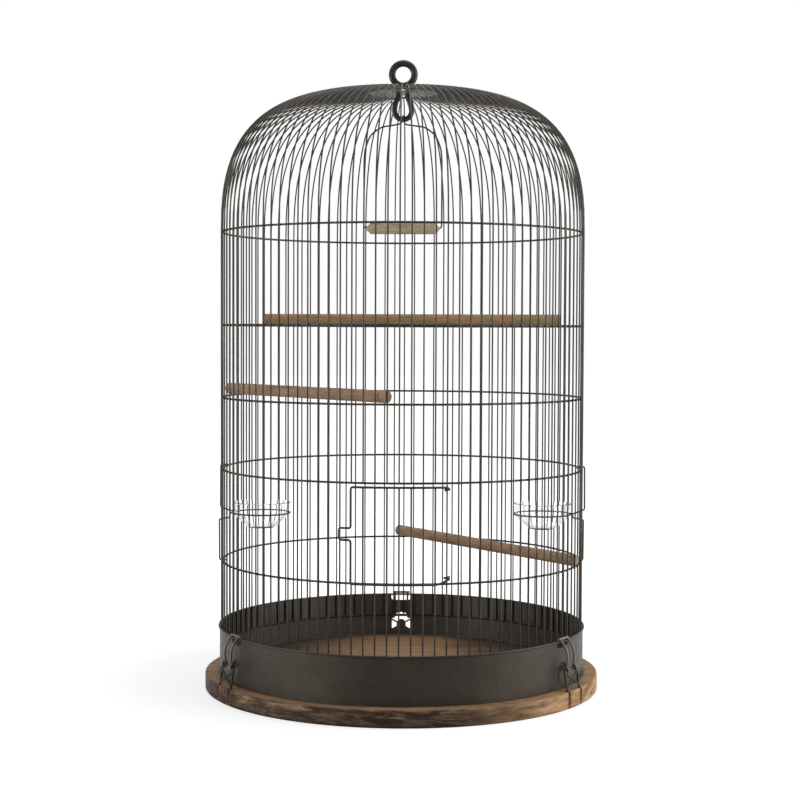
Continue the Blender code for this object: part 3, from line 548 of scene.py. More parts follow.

# %% [markdown]
# The floor inside the cage has painted light and shade: it is pale in the middle, as if lit from above, and
# painted darker towards its two sides and in the corner at the skirt's foot, where shade falls. The pale
# part's middle lies 7 mm to the right, and a noise makes its border ragged.

# %% Painted light and shade on the board's floor
SKIRT_FOOT_RADIUS = 0.2225
board_reach = from_axis(board_place)
board_across = along_axis(board_place, "X")
pool_side = calculated("ABSOLUTE", ranged(board_across, -0.193, 0.207, -0.2, 0.2))
pool_drift = ranged(noise(board_place, 16.0, 3.0, 0.6, 0.5), -0.022, 0.022, 0.3, 0.7)
pool_edge = calculated("ADD", pool_side, pool_drift)
# Painted light and shade: the middle of the floor is pale as if lit, and its two sides are darker.
painted_floor_light = ramp(pool_edge, (0.050, 1), (0.085, 0.50), (0.120, 0.24), (0.16, 0.14))
floor_mask = ranged(board_reach, 1.0, 0.0, SKIRT_FOOT_RADIUS, SKIRT_FOOT_RADIUS + 0.0005)
# Painted shade: the corner at the skirt's foot is darkened.
corner_stops = [(0.205, 1), (0.218, 0.3), (SKIRT_FOOT_RADIUS, 0.3), (SKIRT_FOOT_RADIUS + 0.001, 1)]
painted_corner_shade = ramp(board_reach, *corner_stops)
painted_floor_shade = shaded(mixed(floor_mask, (1, 1, 1), painted_floor_light), painted_corner_shade)
board_with_painted_floor = shaded(board_plain, painted_floor_shade)

# %% [markdown]
# At the right the rim is painted a lighter tan, a painted light for the side that the strong lamp lights. A
# mask on the distance from the axis keeps the rim's pattern off the flat faces.

# %% Painted light on the right side of the rim
# Painted light: the rim turns tan towards +X, the side that the strong lamp lights.
painted_right_light = ranged(board_across, 0.0, 0.78, 0.07, 0.19)
lit_tan_streaks = ramp(
    rim_streaks,
    (0.36, (0.21, 0.112, 0.052)),
    (0.50, (0.45, 0.262, 0.128)),
    (0.62, (0.60, 0.37, 0.20)),
)
rim_with_painted_light = mixed(painted_right_light, rim_with_foot_shade, lit_tan_streaks)
rim_mask = ranged(board_reach, 0.0, 1.0, BOARD_RADIUS - 0.0025, BOARD_RADIUS - 0.0008)
board_final = mixed(rim_mask, board_with_painted_floor, rim_with_painted_light)
fill(board_shader, {"Base Color": board_final, "Specular IOR Level": 0.25})
print("board nodes:", len(board_tree.nodes))

# %% [markdown]
# The bowls are clear pressed glass, which hardly shows. Its colour is nearly white, its surface nearly
# smooth, and it bends light less than window glass does, so that the bars behind it stay where they are.

# %% Glass
GLASS, glass_tree, glass_shader = new_material("clear_glass")
glass_film = noise(object_place(glass_tree), 90.0)
fill(
    glass_shader,
    {
        "Base Color": ramp(glass_film, (0.3, (0.93, 0.95, 0.94)), (0.7, (0.98, 0.99, 0.98))),
        "Roughness": ranged(glass_film, 0.01, 0.07, 0.3, 0.7),
        "Transmission Weight": 1.0,
        "IOR": 1.2,
    },
)


def dressed(piece, material, body, slot, *nodes):
    """Gives a finished piece its material, the body that it rides on and the nodes that it stands for."""
    piece.data.materials.clear()
    piece.data.materials.append(material)
    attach(piece, body)
    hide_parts(*nodes)
    print(piece.name, len(piece.data.polygons), "faces")


# %% [markdown]
# ## The board
# A solid round of wood, 48 cm across. A cylinder gives its shape, and a bevel takes the sharpness off both
# rims. At each latch two grooves run down the edge, which hold the latch's wires. They are cut with a
# Boolean, because an inset would have to follow the curve of the edge.

# %% The latches' places
LATCH_AZIMUTHS = {"right": radians(58.2), "back": radians(180.8), "left": radians(-59.0)}
LATCH_WIRE_RADIUS = 0.0013
ANCHOR_WIDTH = 0.030
LEG_RADIUS = BOARD_RADIUS - SEAT_GAP - LATCH_WIRE_RADIUS
TOE_RADIUS = LEG_RADIUS - 0.006
TOE_HEIGHT = 0.0068
CROSSBAR_HEIGHT = frame["joints"][-1]["pos_m"][2]
CROSSBAR_RADIUS = hypot(*frame["joints"][-1]["pos_m"][:2])
GROOVE_HALF_WIDTH = LATCH_WIRE_RADIUS + 0.0004
GROOVE_FOOT = 0.0050
GROOVE_FLOOR = LEG_RADIUS - GROOVE_HALF_WIDTH
print("latch crossbars:", round(CROSSBAR_RADIUS, 4), "from the axis,", CROSSBAR_HEIGHT, "up")

# %% Turn the board
BOARD_EASING = 0.0022
board = added(bpy.ops.mesh.primitive_cylinder_add, vertices=160, radius=BOARD_RADIUS, depth=BOARD_TOP)
board.name = "wooden_board"
moved(board, Matrix.Translation((0, 0, BOARD_TOP / 2)))
board_edge = board.modifiers.new("Eased edge", "BEVEL")
board_edge.width = BOARD_EASING
board_edge.segments = 4
board_edge.limit_method = "ANGLE"
board_edge.angle_limit = radians(60)
bpy.ops.object.modifier_apply(modifier=board_edge.name)


def block(low, high):
    """A box between two corners, for cutting."""
    box = added(bpy.ops.mesh.primitive_cube_add, size=1)
    size = [top - bottom for bottom, top in zip(low, high)]
    middle = [(top + bottom) / 2 for bottom, top in zip(low, high)]
    return moved(box, Matrix.Translation(middle) @ Matrix.Diagonal((*size, 1)))


def cut_away(piece, cutters):
    """Cuts other pieces out of a piece. The cutters are then removed."""
    for cutter in cutters:
        select_only(piece)
        cut = piece.modifiers.new("Cut", "BOOLEAN")
        cut.solver = "EXACT"
        cut.object = cutter
        bpy.ops.object.modifier_apply(modifier=cut.name)
        bpy.data.objects.remove(cutter)


# %% Groove the board for the latches
groove_blocks = []
for azimuth in LATCH_AZIMUTHS.values():
    for across in (-ANCHOR_WIDTH / 2, ANCHOR_WIDTH / 2):
        for floor, foot, top in (
            (GROOVE_FLOOR, GROOVE_FOOT, BOARD_TOP / 2),
            (GROOVE_FLOOR - 0.0015, BOARD_TOP / 2 - 0.001, BOARD_TOP + 0.001),
            (TOE_RADIUS - GROOVE_HALF_WIDTH, GROOVE_FOOT, TOE_HEIGHT + GROOVE_HALF_WIDTH),
        ):
            low = (across - GROOVE_HALF_WIDTH, -BOARD_RADIUS - 0.002, foot)
            high = (across + GROOVE_HALF_WIDTH, -floor, top)
            groove_blocks.append(moved(block(low, high), at_azimuth(azimuth)))
cut_away(board, groove_blocks)
dressed(smoothed(board, 30), BOARD, "cage", "board", "base_board")

# %% [markdown]
# The wood beside the grooves is painted dark brown. For each latch two masks are multiplied: one is on near
# both legs, and the other near the board's edge.

# %% Darken the wood at the grooves
GROOVE_BROWN = (0.10, 0.042, 0.016)
GROOVE_BROWN_CORE = 0.0030
GROOVE_BROWN_REACH = 0.0045
HALF_ANCHOR = ANCHOR_WIDTH / 2


def distance_along(axis):
    """How far a place on the board lies along a direction."""
    inputs = {0: board_place, 1: axis}
    return new_node("ShaderNodeVectorMath", inputs, "DOT_PRODUCT").outputs["Value"]


for azimuth in LATCH_AZIMUTHS.values():
    near_legs = ramp(
        calculated("ABSOLUTE", distance_along(at_azimuth(azimuth) @ Vector((1, 0, 0)))),
        (HALF_ANCHOR - GROOVE_BROWN_REACH, 0),
        (HALF_ANCHOR - GROOVE_BROWN_CORE, 1),
        (HALF_ANCHOR + GROOVE_BROWN_CORE, 1),
        (HALF_ANCHOR + GROOVE_BROWN_REACH, 0),
    )
    outwards = distance_along(at_azimuth(azimuth) @ Vector((0, -1, 0)))
    at_edge = ranged(outwards, 0.0, 0.85, LEG_RADIUS - 0.006, LEG_RADIUS - 0.003)
    browned = calculated("MULTIPLY", near_legs, at_edge)
    board_final = mixed(browned, board_final, GROOVE_BROWN)
fill(board_shader, {"Base Color": board_final})
print("board nodes:", len(board_tree.nodes))

# %% [markdown]
# ## The skirt
# A band of thin sheet stands on the board round the feet of the bars. Its section is a thin upright
# rectangle, spun round the axis. The upper rim is rolled round a wire. Under each latch the rim is
# notched, and an arched slot leaves a tongue standing in it.

# %% Spin the skirt
SKIRT_INNER = CAGE_RADIUS + BAR_RADIUS + SEAT_GAP
SKIRT_SHEET = 0.0008
SKIRT_OUTER = SKIRT_INNER + SKIRT_SHEET
SKIRT_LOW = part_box("skirt_band")[0].z
SKIRT_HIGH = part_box("skirt_band")[1].z
SKIRT_ROLL = SKIRT_HIGH + SKIRT_SHEET
RIM_HEIGHT = middle_height("rim_wire")
RIM_WIRE_RADIUS = 0.0013
RIM_RADIUS = SKIRT_INNER + RIM_WIRE_RADIUS


def drawn(points, edges, faces):
    """A piece with these points, edges and faces, which starts as a circle."""
    piece = added(bpy.ops.mesh.primitive_circle_add, vertices=3)
    piece.data.clear_geometry()
    piece.data.from_pydata(points, edges, faces)
    bpy.ops.object.mode_set(mode="EDIT")
    bpy.ops.mesh.select_all(action="SELECT")
    return piece


def spun(name, profile, steps, closed=False):
    """Spins a line of (radius, height) points round the Z axis into a mesh."""
    edges = [(index, index + 1) for index in range(len(profile) - 1)]
    if closed:
        edges.append((len(profile) - 1, 0))
    piece = drawn([(radius, 0, height) for radius, height in profile], edges, [])
    piece.name = name
    bpy.ops.mesh.spin(steps=steps, angle=2 * pi, center=(0, 0, 0), axis=(0, 0, 1))
    bpy.ops.object.mode_set(mode="OBJECT")
    return cleaned(piece, 0.00002)


skirt_section = [(SKIRT_INNER, SKIRT_LOW), (SKIRT_INNER, SKIRT_ROLL)]
skirt_section += [(SKIRT_OUTER, SKIRT_ROLL), (SKIRT_OUTER, SKIRT_LOW)]
skirt = spun("sheet_skirt", skirt_section, 160, closed=True)
print("skirt:", len(skirt.data.polygons), "faces before the slots")

# %% [markdown]
# The slot's outline is a flat face, half circles joined by straight lines, and the notch's has two round
# corners. Each is extruded right through the sheet and turned to the three latches.

# %% Cut the notches and the slots
NOTCH_HALF_WIDTH = 0.0135
NOTCH_FLOOR = RIM_HEIGHT + RIM_WIRE_RADIUS - 0.009
NOTCH_CORNER = 0.004
SLOT_HALF_WIDTH = 0.01275
SLOT_BOTTOM = 0.0290
SLOT_TOP = 0.0508
TONGUE_HALF_WIDTH = 0.00625
TONGUE_TOP = 0.0415
CUT_DEPTH = 0.01


def bow(centre, height, radius, start, end, steps):
    """Points of a round bow in X and Z between two angles."""
    turns = [start + (end - start) * step / steps for step in range(steps + 1)]
    return [(centre + radius * cos(turn), height + radius * sin(turn)) for turn in turns]


def plate_cutter(outline, near, far):
    """A flat outline in X and Z, extruded along Y from near to far."""
    cutter = drawn([(x, near, z) for x, z in outline], [], [list(range(len(outline)))])
    bpy.ops.mesh.extrude_region_move(TRANSFORM_OT_translate={"value": (0, far - near, 0)})
    bpy.ops.object.mode_set(mode="OBJECT")
    return cleaned(cutter)


slot_outline = [(TONGUE_HALF_WIDTH, SLOT_BOTTOM), (SLOT_HALF_WIDTH, SLOT_BOTTOM)]
slot_outline += bow(0, SLOT_TOP - SLOT_HALF_WIDTH, SLOT_HALF_WIDTH, 0, pi, 14)
slot_outline += [(-SLOT_HALF_WIDTH, SLOT_BOTTOM), (-TONGUE_HALF_WIDTH, SLOT_BOTTOM)]
slot_outline += bow(0, TONGUE_TOP - TONGUE_HALF_WIDTH, TONGUE_HALF_WIDTH, pi, 0, 10)
corner_x, corner_z = NOTCH_HALF_WIDTH - NOTCH_CORNER, NOTCH_FLOOR + NOTCH_CORNER
notch_outline = [(NOTCH_HALF_WIDTH, SKIRT_HIGH + CUT_DEPTH), (-NOTCH_HALF_WIDTH, SKIRT_HIGH + CUT_DEPTH)]
notch_outline += bow(-corner_x, corner_z, NOTCH_CORNER, pi, 1.5 * pi, 6)
notch_outline += bow(corner_x, corner_z, NOTCH_CORNER, 1.5 * pi, 2 * pi, 6)
skirt_cutters = []
for azimuth in LATCH_AZIMUTHS.values():
    for outline in (notch_outline, slot_outline):
        cutter = plate_cutter(outline, -CAGE_RADIUS - CUT_DEPTH, -CAGE_RADIUS + CUT_DEPTH)
        skirt_cutters.append(moved(cutter, at_azimuth(azimuth)))
cut_away(skirt, skirt_cutters)
dressed(smoothed(skirt, 30), SHEET, "cage", "skirt", "skirt_band")

# %% Roll the rim round its wire
rim_circle = arc(RIM_RADIUS, 0, 2 * pi, RIM_HEIGHT, 160)[:-1]
rim = bend_wire("rolled_rim", rim_circle, RIM_WIRE_RADIUS, 10, closed=True)
dressed(rim, SHEET, "cage", "skirt", "rim_wire")

# %% [markdown]
# ## The bars
# 104 wires stand round the cage, rise straight to the crown hoop and then bend over into the dome. The
# dome isn't a half ball: its section is a superellipse, which is flatter on top and squarer at the
# shoulder. One wire is bent along it, and an Array modifier turns it round the axis to fill a sector.

# %% Bend one bar over the dome
DOME_STEPS = 26
DOME_SPACING = 0.85
HALF_SECTOR = SECTOR_BARS / 2 * BAR_STEP
dome_end = acos((HUB_RADIUS / CAGE_RADIUS) ** (DOME_BREADTH_POWER / 2))
DOME = []
for step in range(DOME_STEPS + 1):
    angle = dome_end * (step / DOME_STEPS) ** DOME_SPACING
    height = DOME_START_HEIGHT + DOME_RISE * sin(angle) ** (2 / DOME_HEIGHT_POWER)
    DOME.append((CAGE_RADIUS * cos(angle) ** (2 / DOME_BREADTH_POWER), height))


def bar_row(name, first, count, foot, ends=DOME):
    """A row of equal bars. first is the number of the first one, counted from the front."""
    route = [polar(radius, first * BAR_STEP, height) for radius, height in [(CAGE_RADIUS, foot)] + ends]
    return copies_round(bend_wire(name, route, BAR_LOOK_RADIUS), count)


def sector_rings():
    """The pieces of the foot hoop and of the hub ring that hold one sector's bars."""
    foot = arc(CAGE_RADIUS, -HALF_SECTOR, HALF_SECTOR, BAR_FOOT_HEIGHT, 26)
    hub = arc(HUB_RADIUS, -HALF_SECTOR, HALF_SECTOR, HUB_HEIGHT, 8)
    return [bend_wire("foot", foot, HOOP_WIRE_RADIUS), bend_wire("hub", hub, HOOP_WIRE_RADIUS)]


# %% Fill the plain sectors
SECTORS = ("front_right", "right", "back_right", "back", "back_left", "left", "front_left")
first_bar = -(SECTOR_BARS // 2)
sector = joined("sector", [bar_row("bars", first_bar, SECTOR_BARS, BAR_FOOT_HEIGHT)] + sector_rings())
for place, label in enumerate(SECTORS, start=1):
    bars = turned_copy(sector, label + "_bars", at_azimuth(2 * pi * place / SECTOR_COUNT))
    dressed(bars, WIRE, "cage", "wire", "bars_" + label)
bpy.data.objects.remove(sector)

# %% [markdown]
# The front sector is broken by the doorway. Its bars are short under the door, start again over it, and
# run full length at both sides.

# %% Leave the doorway out of the front sector
STUB_TOP = HOOP_HEIGHTS["lower_hoop"] + 0.0004
LINTEL = HOOP_HEIGHTS["feeder_hoop"] - 0.0006
door_bars = DOOR_HINGE_BAR - DOOR_FIRST_BAR
front_rows = [
    bar_row("left_bars", first_bar, 2, BAR_FOOT_HEIGHT),
    bar_row("stubs", DOOR_FIRST_BAR, door_bars, BAR_FOOT_HEIGHT, [(CAGE_RADIUS, STUB_TOP)]),
    bar_row("uppers", DOOR_FIRST_BAR, door_bars, LINTEL),
    bar_row("right_bars", DOOR_HINGE_BAR, 3, BAR_FOOT_HEIGHT),
]
front = joined("front_bars", front_rows + sector_rings())
dressed(front, WIRE, "cage", "wire", "bars_front")

# %% [markdown]
# ## The hoops
# Five rings of slightly thicker wire lie inside the bars and are spot-welded to each of them. A weld is a
# small flattened bead. One bead is made and repeated with the same Array.

# %% Hoops with their welds
BEAD_HALF_SIZE = (0.0014, 0.0009, 0.0014)
for node, height in HOOP_HEIGHTS.items():
    circle = arc(HOOP_RADIUS, 0, 2 * pi, height, BAR_COUNT)[:-1]
    ring = bend_wire(node + "_ring", circle, HOOP_WIRE_RADIUS, closed=True)
    bead = added(bpy.ops.mesh.primitive_ico_sphere_add, subdivisions=1, radius=1.0)
    bead_place = Matrix.Translation(polar(CAGE_RADIUS - BAR_RADIUS, 0, height))
    copies_round(moved(bead, bead_place @ Matrix.Diagonal((*BEAD_HALF_SIZE, 1))), BAR_COUNT)
    dressed(smoothed(joined(node + "_wire", [bead, ring]), 50), WIRE, "cage", "wire", node)

# %% [markdown]
# ## The hub
# The bars' upper ends meet a small ring. A round plate lies in the ring, pierced by 26 narrow windows and
# by two holes for the strands of the drop. The windows are joined first and cut all at once.

# %% Pierce the hub plate
PLATE_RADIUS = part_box("hub_plate")[1].x
PLATE_EDGE = PLATE_RADIUS + 0.0002
PLATE_HALF_THICKNESS = 0.0006
PLATE_LOW = HUB_HEIGHT - PLATE_HALF_THICKNESS
PLATE_HIGH = HUB_HEIGHT + PLATE_HALF_THICKNESS
WINDOW_COUNT = 26
WINDOW_OUTER = PLATE_RADIUS - 0.0025
WINDOW_INNER = 0.0150
WINDOW_SPREAD = 0.32 * 2 * pi / WINDOW_COUNT
NECK_HALF_WIDTH = 0.0060
DROP_WIRE_RADIUS = 0.00325
HOLE_RADIUS = DROP_WIRE_RADIUS + 0.0002
plate_section = [(0, PLATE_HIGH), (PLATE_EDGE, PLATE_HIGH), (PLATE_EDGE, PLATE_LOW), (0, PLATE_LOW)]
plate = spun("hub_rosette", plate_section, BAR_COUNT)
at_hub = Matrix.Translation((0, 0, HUB_HEIGHT))
corners = [(WINDOW_INNER, 0), (WINDOW_OUTER, -WINDOW_SPREAD), (WINDOW_OUTER, WINDOW_SPREAD)]
wedge_outline = [(reach * cos(bend), reach * sin(bend)) for reach, bend in corners]
windows = []
for window in range(WINDOW_COUNT):
    turn = Matrix.Rotation(2 * pi * (window + 0.5) / WINDOW_COUNT, 4, "Z")
    wedge = plate_cutter(wedge_outline, -0.005, 0.005)
    windows.append(moved(wedge, at_hub @ turn @ Matrix.Rotation(pi / 2, 4, "X")))
plate_cutters = [joined("windows", windows)]
for across in (-NECK_HALF_WIDTH, NECK_HALF_WIDTH):
    hole = added(bpy.ops.mesh.primitive_cylinder_add, vertices=20, radius=HOLE_RADIUS, depth=0.01)
    plate_cutters.append(moved(hole, Matrix.Translation((across, 0, HUB_HEIGHT))))
cut_away(plate, plate_cutters)
# Painted light: the plate takes the paler metal, which stands in for the light seen on its underside.
dressed(smoothed(plate, 30), PALE_METAL, "cage", "wire", "hub_plate")

# %% [markdown]
# ## The hanger
# One heavy wire is bent into a ring over the cage and a drop-shaped loop under it. The ring is a torus.
# The drop is a bent wire whose two strands come up through the plate and meet the ring.

# %% Bend the hanger
RING_HEIGHT = 0.7460
RING_RADIUS = 0.0136
RING_WIRE_RADIUS = 0.0041
DROP_FOOT = 0.6917
DROP_WAIST = 0.7044
DROP_HALF_WIDTH = 0.0104
eye = added(
    bpy.ops.mesh.primitive_torus_add,
    major_radius=RING_RADIUS,
    minor_radius=RING_WIRE_RADIUS,
    major_segments=48,
    minor_segments=16,
)
moved(eye, Matrix.Translation((0, 0, RING_HEIGHT)) @ Matrix.Rotation(pi / 2, 4, "X"))
drop_side = [
    (DROP_HALF_WIDTH * 0.58, 0, DROP_FOOT + DROP_HALF_WIDTH * 0.17),
    (DROP_HALF_WIDTH * 0.92, 0, (DROP_WAIST + DROP_FOOT) / 2),
    (DROP_HALF_WIDTH, 0, DROP_WAIST),
    (DROP_HALF_WIDTH * 0.84, 0, (HUB_HEIGHT + DROP_WAIST) / 2 - 0.0010),
    (NECK_HALF_WIDTH, 0, HUB_HEIGHT - 2 * DROP_WIRE_RADIUS),
    (NECK_HALF_WIDTH - 0.0002, 0, HUB_HEIGHT),
    (NECK_HALF_WIDTH - 0.0006, 0, RING_HEIGHT - RING_RADIUS + 0.001),
]
drop_route = flowing(two_halves(drop_side, [Vector((0, 0, DROP_FOOT))]))
hanger = joined("hanging_ring", [bend_wire("drop", drop_route, DROP_WIRE_RADIUS, 12), eye])
dressed(smoothed(hanger, 50), LATCH_WIRE, "cage", "wire", "hanger")

# %% [markdown]
# ## The swing
# A thin wire is wrapped over the foot of the drop, runs out to two shoulders and down to a short perch.
# Its ends turn inwards into the perch's pointed ends, so wire and perch swing together.

# %% Bend the swing's wire
SWING_WIRE_RADIUS = 0.0010
SWING_HALF_WIDTH = 0.0475
SWING_PERCH_HEIGHT = middle_height("swing_perch")
SWING_PERCH_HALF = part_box("swing_perch")[1].x
SHOULDER = 0.6845
WRAP_STEPS = 10
WRAP_SHIFT = 0.0009
wrap = DROP_WIRE_RADIUS + SEAT_GAP + SWING_WIRE_RADIUS
wrap_route = []
for step in range(WRAP_STEPS + 1):
    turn = pi * step / WRAP_STEPS
    sideways = WRAP_SHIFT * (turn / pi - 0.5)
    wrap_route.append(Vector((sideways, -wrap * cos(turn), DROP_FOOT + wrap * sin(turn))))
swing_side = [
    (0.0016, wrap, SHOULDER + 0.0030),
    (0.0045, wrap * 0.75, SHOULDER + 0.0012),
    (0.0120, wrap * 0.3, SHOULDER),
    (0.0270, 0, SHOULDER - 0.0020),
    (0.0400, 0, SHOULDER - 0.0120),
    (SWING_HALF_WIDTH - 0.0010, 0, SHOULDER - 0.0290),
    (SWING_HALF_WIDTH, 0, SHOULDER - 0.0450),
    (SWING_HALF_WIDTH, 0, SWING_PERCH_HEIGHT),
    (SWING_PERCH_HALF - 0.006, 0, SWING_PERCH_HEIGHT),
]
bail = bend_wire("swing_bail", rounded(two_halves(swing_side, wrap_route), 0.006), SWING_WIRE_RADIUS, 10)
dressed(bail, WIRE, "swing", "wire", "swing_wire")

# %% [markdown]
# ## The perches
# Each perch is a turned rod of stained wood: a cylinder whose ends are eased, or drawn out to a point on
# the swing. The three long ones rest on hoops. All but one of their ends lie against a bar. The last lies
# between two bars and is notched round one of them. The grain runs along the rod, because the pattern is
# turned with it, through the material's Mapping node.

# %% Turn the rods
PERCH_RADIUS = 0.007
END_INSET = 0.0007
END_RISE = 0.0004
POINT_SHARE = 0.26


def wooden_rod(name, start, end, point=0.0):
    """A rod between two points. point is how long its tapered ends are."""
    start, end = Vector(start), Vector(end)
    length = (end - start).length
    rod = added(
        bpy.ops.mesh.primitive_cylinder_add,
        vertices=28,
        radius=PERCH_RADIUS,
        depth=length - 2 * point,
        end_fill_type="NGON",
    )
    rod.name = name
    for side in (-1, 1):
        bpy.ops.object.mode_set(mode="EDIT")
        bpy.ops.mesh.select_all(action="DESELECT")
        bpy.ops.object.mode_set(mode="OBJECT")
        for face in rod.data.polygons:
            face.select = face.normal.z * side > 0.9
        bpy.ops.object.mode_set(mode="EDIT")
        if point:
            bpy.ops.mesh.extrude_region_move(TRANSFORM_OT_translate={"value": (0, 0, side * point)})
            tip = (0, 0, side * length / 2)
            bpy.ops.transform.resize(value=(POINT_SHARE, POINT_SHARE, 1), center_override=tip)
        else:
            bpy.ops.mesh.inset(thickness=END_INSET, depth=0)
            bpy.ops.transform.translate(value=(0, 0, side * END_RISE))
        bpy.ops.object.mode_set(mode="OBJECT")
    turn = Vector((0, 0, 1)).rotation_difference(end - start).to_matrix().to_4x4()
    return smoothed(moved(rod, Matrix.Translation((start + end) / 2) @ turn), 40)


def perch_wood(name, turn=0.0, **colours):
    """A copy of the perches' wood, with its grain turned about Z and its colours changed."""
    material = PERCH.copy()
    material.name = name
    for node in material.node_tree.nodes:
        if node.type == "MAPPING":
            fill(node, {"Rotation": (0, 0, turn)})
        if node.type == "GROUP":
            fill(node, colours)
    return material


# %% Lay the perches on their hoops
PERCH_BARS = {"lower": (20, 52.5), "middle": (-29, -1), "upper": (33, 68)}
for label, (first, last) in PERCH_BARS.items():
    middle = (first + last) / 2 * BAR_STEP
    half_angle = (last - first) / 2 * BAR_STEP
    offset = CAGE_RADIUS * cos(half_angle)
    reach = CAGE_RADIUS * sin(half_angle) - BAR_RADIUS - SEAT_GAP
    centre = polar(offset, middle, middle_height(label + "_perch"))
    along = Vector((cos(middle), sin(middle), 0))
    rod = wooden_rod(label + "_rod", centre - along * reach, centre + along * reach)
    if last != int(last):
        bar_angle = half_angle - BAR_STEP / 2
        step_back = CAGE_RADIUS * sin(bar_angle) - BAR_RADIUS - SEAT_GAP
        step_out = CAGE_RADIUS * cos(bar_angle) - offset - BAR_RADIUS - SEAT_GAP
        corner = block((step_back, -0.03, -0.02), (reach + 0.01, -step_out, 0.02))
        cut_away(rod, [moved(corner, Matrix.Translation(centre) @ at_azimuth(middle))])
        smoothed(rod, 40)
    wood = perch_wood(label + "_perch_wood", -atan2(along.y, along.x))
    dressed(rod, wood, "cage", "perch", label + "_perch")

# %% The swing's perch
swing_ends = [(side * SWING_PERCH_HALF, 0, SWING_PERCH_HEIGHT) for side in (-1, 1)]
swing_rod = wooden_rod("swing_rod", *swing_ends, point=0.0056)
swing_wood = perch_wood("swing_perch_wood", Pale=(0.85, 0.66, 0.45), Deep=(0.50, 0.36, 0.23))
dressed(swing_rod, swing_wood, "swing", "perch", "swing_perch")

# %% [markdown]
# ## The door
# The door is a bent wire frame with bars welded across it. At its right the two rails are coiled round a
# bar of the cage, which is its hinge. At its left a bracket of the same wire reaches over the next bar, so
# a finger can find it.

# %% Bend the door's frame
DOOR_WIRE_RADIUS = 0.0013
DOOR_RAIL_OFFSET = 0.0027
DOOR_RAIL_RADIUS = CAGE_RADIUS + DOOR_RAIL_OFFSET
DOOR_BAR_RADIUS = CAGE_RADIUS + 0.0008
DOOR_TOP = HOOP_HEIGHTS["feeder_hoop"] - 0.0043
DOOR_FOOT = HOOP_HEIGHTS["lower_hoop"]
CATCH_TOP = 0.2170
CATCH_FOOT = 0.2038
# How far a coil climbs in one turn, in radii of its wire
COIL_PITCH = 2.1
HINGE_TURNS = 1.2
# The azimuths of the door's right and left sides and of its catch
HINGE = DOOR_HINGE_BAR * BAR_STEP
FIRST = DOOR_FIRST_BAR * BAR_STEP
CATCH = FIRST - BAR_STEP


def rail_point(azimuth, height):
    """A point of the door's frame."""
    return polar(DOOR_RAIL_RADIUS, azimuth, height)


def hinge_coil(height, way):
    """A coil round the hinge's bar that starts outside it and runs up or down it."""
    centre = polar(CAGE_RADIUS, HINGE, height)
    pitch = COIL_PITCH * DOOR_WIRE_RADIUS
    return helix(centre, (0, 0, way), polar(1, HINGE, 0), DOOR_RAIL_OFFSET, pitch, HINGE_TURNS)


top_coil = hinge_coil(DOOR_TOP, -1)
foot_coil = hinge_coil(DOOR_FOOT + 0.0050, 1)
top_rail = arc(DOOR_RAIL_RADIUS, HINGE - 0.3 * BAR_STEP, FIRST, DOOR_TOP, 14)
foot_rail = arc(DOOR_RAIL_RADIUS, FIRST, HINGE - BAR_STEP, DOOR_FOOT, 14)
side_points = [
    top_rail[-2],
    rail_point(FIRST, DOOR_TOP),
    rail_point(FIRST, CATCH_TOP),
    rail_point(CATCH, CATCH_TOP),
    rail_point(CATCH, CATCH_FOOT),
    rail_point(FIRST, CATCH_FOOT),
    rail_point(FIRST, DOOR_FOOT),
    foot_rail[1],
]
foot_points = [foot_rail[-1], rail_point(HINGE - 0.5 * BAR_STEP, DOOR_FOOT + 0.0012), foot_coil[0]]
frame_route = top_coil[::-1] + top_rail[:-2] + rounded(side_points, 0.0028)
frame_route += foot_rail[2:-1] + rounded(foot_points, 0.004, 3)[:-1] + foot_coil
door_wires = [bend_wire("door_frame", frame_route, DOOR_WIRE_RADIUS, 10)]
for bar in range(DOOR_FIRST_BAR + 1, DOOR_HINGE_BAR):
    ends = [polar(DOOR_BAR_RADIUS, bar * BAR_STEP, end) for end in (DOOR_FOOT - 0.0006, DOOR_TOP + 0.0006)]
    door_wires.append(bend_wire("door_bar", ends, BAR_RADIUS))
dressed(joined("wire_door", door_wires), WIRE, "door", "wire", "front_door")

# %% [markdown]
# ## The bowls and their holders
# At each side one wire hooks over a hoop, comes in between two bars, makes a ring for the bowl, and goes
# back out and down to the hoop below. The bowl is pressed glass with a thick foot: half of its section is
# drawn and spun round its own axis.

# %% Bend a holder
HOLDER_RADIUS = 0.001
HOLDER_BEND = 0.0025
BOWL_DISTANCE = 0.1725
RING_CENTRE_HEIGHT = 0.2105
NECK_RADIUS = 0.0335
RING_STEPS = 40
holder_ring = NECK_RADIUS + 0.0006 + HOLDER_RADIUS
side_step = CAGE_RADIUS * BAR_STEP / 2
clasp = HOOP_WIRE_RADIUS + SEAT_GAP + HOLDER_RADIUS
inside = HOOP_RADIUS - HOOP_WIRE_RADIUS - 0.0006 - 1.5 * HOLDER_RADIUS
outside = CAGE_RADIUS + 2 * HOLDER_RADIUS + 0.0012
bulge = outside + 0.0003
top_clasp = HOOP_HEIGHTS["feeder_hoop"] + clasp
foot_clasp = HOOP_HEIGHTS["lower_hoop"] - clasp
ring_start = atan2(side_step, sqrt(holder_ring**2 - side_step**2))
ring_points = []
for step in range(RING_STEPS + 1):
    turn = ring_start + (2 * pi - 2 * ring_start) * step / RING_STEPS
    outwards, forwards = holder_ring * cos(turn), holder_ring * sin(turn)
    ring_points.append((BOWL_DISTANCE + outwards, -forwards, RING_CENTRE_HEIGHT))
holder_start = [
    (inside, -side_step, top_clasp - clasp),
    (inside, -side_step, top_clasp),
    (outside, -side_step, top_clasp),
    (bulge, -side_step, 0.2165),
    *ring_points[:2],
]
return_radius = BOWL_DISTANCE + holder_ring + 0.003
